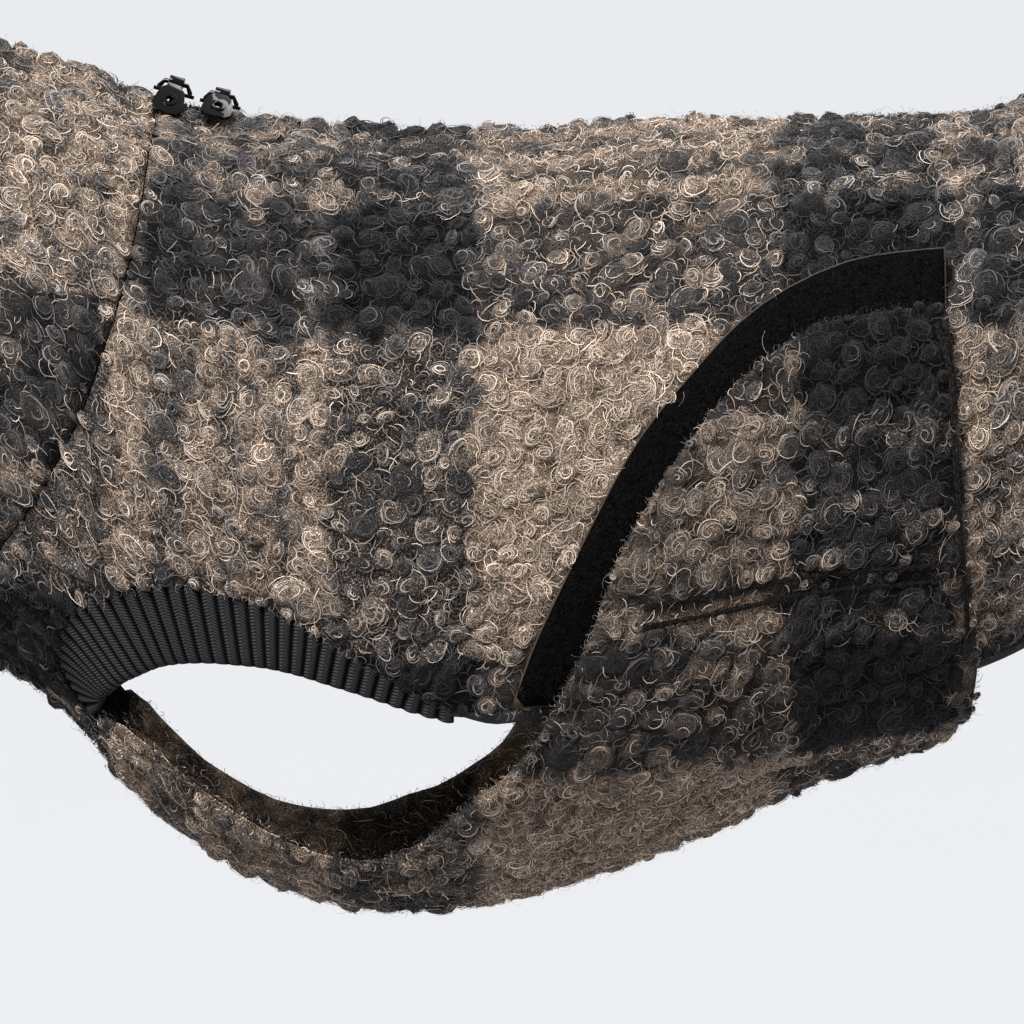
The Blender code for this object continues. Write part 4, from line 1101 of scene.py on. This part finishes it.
# ---- everything is put together ----
ground, puff_wool, strand_wool = wool_base(), wool_puffs(), wool_strands()
knit, nap, braid, enamel = knit_material(), nap_material(), braid_material(), metal_material()
thread_and_seam_shade, channel = Material("dark_thread_and_seam_shade", 0.8, 0.1).done((0.010, 0.0095, 0.0095)), channel_material()
HARDWARE = {"slider_1": "garment", "slider_2": "garment", "pull_tab_1": "tab_1", "pull_tab_2": "tab_2"}
CLOTHS = {   # node: (plaid shift in mm, flat width and length in m, flat area in m2)
    "collar": ((53.5, 86.0), (0.39, 0.165), 0.0518),
    "body_left": ((0.0, 0.0), (0.215, 0.478), 0.0753),
    "body_right": ((0.0, 0.0), (0.215, 0.478), 0.0753),
    "belly_panel": ((0.0, -127.0), (0.33, 0.258), 0.0579),
}
for cloth_name, (shift, flat_size, flat_area) in CLOTHS.items():
    wall = Wall(cloth_name, shift)
    covers = []
    if cloth_name.startswith("body"):
        covers = [tree_of("loop_tape_" + cloth_name.split("_")[1]), tree_of("belly_panel")]
    if cloth_name != "belly_panel":
        covers += [tree_of(hard_name) for hard_name in HARDWARE]
    shell = dress(make_shell(wall, ground, GROOVE_POINTS), "boucle", cloth_name)
    curls = Curls(wall, CURL_SPACING, covers)
    pieces = [curls.puffs()]
    for number, (away, sweep) in enumerate(WINDS, start=1):
        pieces.append(curls.fibres(number, away, sweep))
    pieces.append(add_felt(wall, "felt", FELT_SPACING, covers))
    pieces.append(add_fuzz(wall, FUZZ_SPACING, covers))
    pieces.append(add_fringe(wall, covers))
    if cloth_name == "belly_panel":
        # The lining felt is 1.3 times brighter: painted light inside the strap.
        pieces.append(add_felt(wall, "lining_felt", LINING_SPACING, None, "inner", (0.05, 1.2), 1.3))
        pieces.append(add_fringe(wall, None, "inner"))

rows_of_stitches = []
# Dark strips of painted shade lie in the grooves of the topstitching, under the stitches.
for number, (along, turn) in enumerate(GROOVES, start=1):
    for side, there in (("left", turn), ("right", 2.0 - turn)):
        high = lap(along, there) + WALL - PILE
        curve_strip(f"stitch_channel_{side}_{number}", (along, there), 0.75, channel, high + 0.25, 0.5)
        rows_of_stitches.append((along, there, high + 0.42))
stitches("topstitching", rows_of_stitches, thread_and_seam_shade)
# Dark strips of painted shade just inside the form close the narrow gaps at the seams.
SEAM_SHADE_HALF, SEAM_SHADE_OUT = 3.0, -0.25
chest = np.full(40, -13.15), np.linspace(0.845, 1.155, 40)
curve_strip("strap_seam_shade", chest, SEAM_SHADE_HALF, channel, SEAM_SHADE_OUT)
for name, first, last, turn in (("back", ZIP_END - 4.0, 408.0, 0.0), ("chest", -62.0, -14.5, 1.0)):
    middle = np.linspace(first, last, 60), np.full(60, turn)
    curve_strip(f"centre_seam_tape_{name}", middle, SEAM_SHADE_HALF, channel, SEAM_SHADE_OUT)
# The collar seam strips take the dark thread colour as painted shade.
for side, there in (("left", SEAM[1]), ("right", 2.0 - SEAM[1])):
    curve_strip(f"collar_seam_tape_{side}", (SEAM[0], there), SEAM_SHADE_HALF, thread_and_seam_shade, SEAM_SHADE_OUT)
cuff = make_cuff(knit)
for ribbed in (cuff, mirrored(cuff, "cuff_right_knit", "rib_knit", "cuff_right")):
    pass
make_binding(braid)
zip_tape, zip_teeth = make_zip(nap, enamel)
for tape_name in ("loop_tape_left", "loop_tape_right", "hook_tape_left", "hook_tape_right"):
    napped = dress(make_shell(Wall(tape_name), nap, None, 2, 1.0, 0.0, 0.03), "hook_and_loop", tape_name)
for hard_name, body in HARDWARE.items():
    make_hardware(hard_name, enamel, body)

# ---- studio ----
BACKDROP, FLOOR_GLOW = (0.815, 0.831, 0.855), (0.802, 0.818, 0.842)
LAMPS = (   # name, place, size in m, power in W
    ("key", (-0.45, -1.25, 1.25), (0.8, 0.6), 38.0),
    ("rim", (0.5, 0.55, 1.3), (1.0, 0.6), 9.0))
LAMP_AIM = (0.1, 0.0, -0.1)
CAMERA, CAMERA_AIM, CAMERA_LENS = (0.108, -1.2, -0.0171), (0.108, 0.0, -0.1227), 141.168


def stage_floor():
    """Pale floor that meets the backdrop without a line; it throws little light back up."""
    m = Material("studio_floor", 0.95, 0.1)
    soft = m.noise(m.add("TexCoord").outputs["Object"], 3.0, dimensions="3D")
    seen = m.add("LightPath").outputs["Is Camera Ray"]
    put(m.surface["Emission Color"], FLOOR_GLOW)
    put(m.surface["Emission Strength"], seen)
    mesh = bpy.data.meshes.new("floor")
    mesh.from_pydata([(-30, -30, 0), (30, -30, 0), (30, 30, 0), (-30, 30, 0)], [], [(0, 1, 2, 3)])
    mesh.materials.append(m.done(m.mix(seen, (0.33, 0.33, 0.34), m.ramp(soft, ((0.0, 0.026), (1.0, 0.034))))))
    floor = placed("floor", mesh)
    floor.location = (0.1, 0.0, -0.44)


def aimed(made, place, aim):
    made.location = place
    made.rotation_euler = (Vector(aim) - Vector(place)).to_track_quat("-Z", "Y").to_euler()


def studio():
    scene = bpy.context.scene
    scene.world = bpy.data.worlds.new("studio")
    scene.world.use_nodes = True
    sky = Nodes(scene.world.node_tree)
    height = sky.split(sky.add("TexCoord").outputs["Generated"])[2]
    seen = sky.add("LightPath").outputs["Is Camera Ray"]
    put(sky.tree.nodes["Background"].inputs["Color"],
        sky.mix(seen, sky.spread(height, -0.5, 0.9, 0.10, 0.62), BACKDROP))
    for name, place, size, power in LAMPS:
        data = bpy.data.lights.new(name, "AREA")
        data.shape, data.size, data.size_y = "RECTANGLE", *size
        data.energy = power
        aimed(placed(name, data), place, LAMP_AIM)
    camera = bpy.data.cameras.new("camera")
    scene.camera = placed("camera", camera)
    aimed(scene.camera, CAMERA, CAMERA_AIM)
    camera.sensor_width, camera.lens = 36.0, CAMERA_LENS
    camera.clip_start, camera.clip_end = 0.05, 50.0
    scene.view_settings.view_transform = "Standard"


stage_floor()
studio()
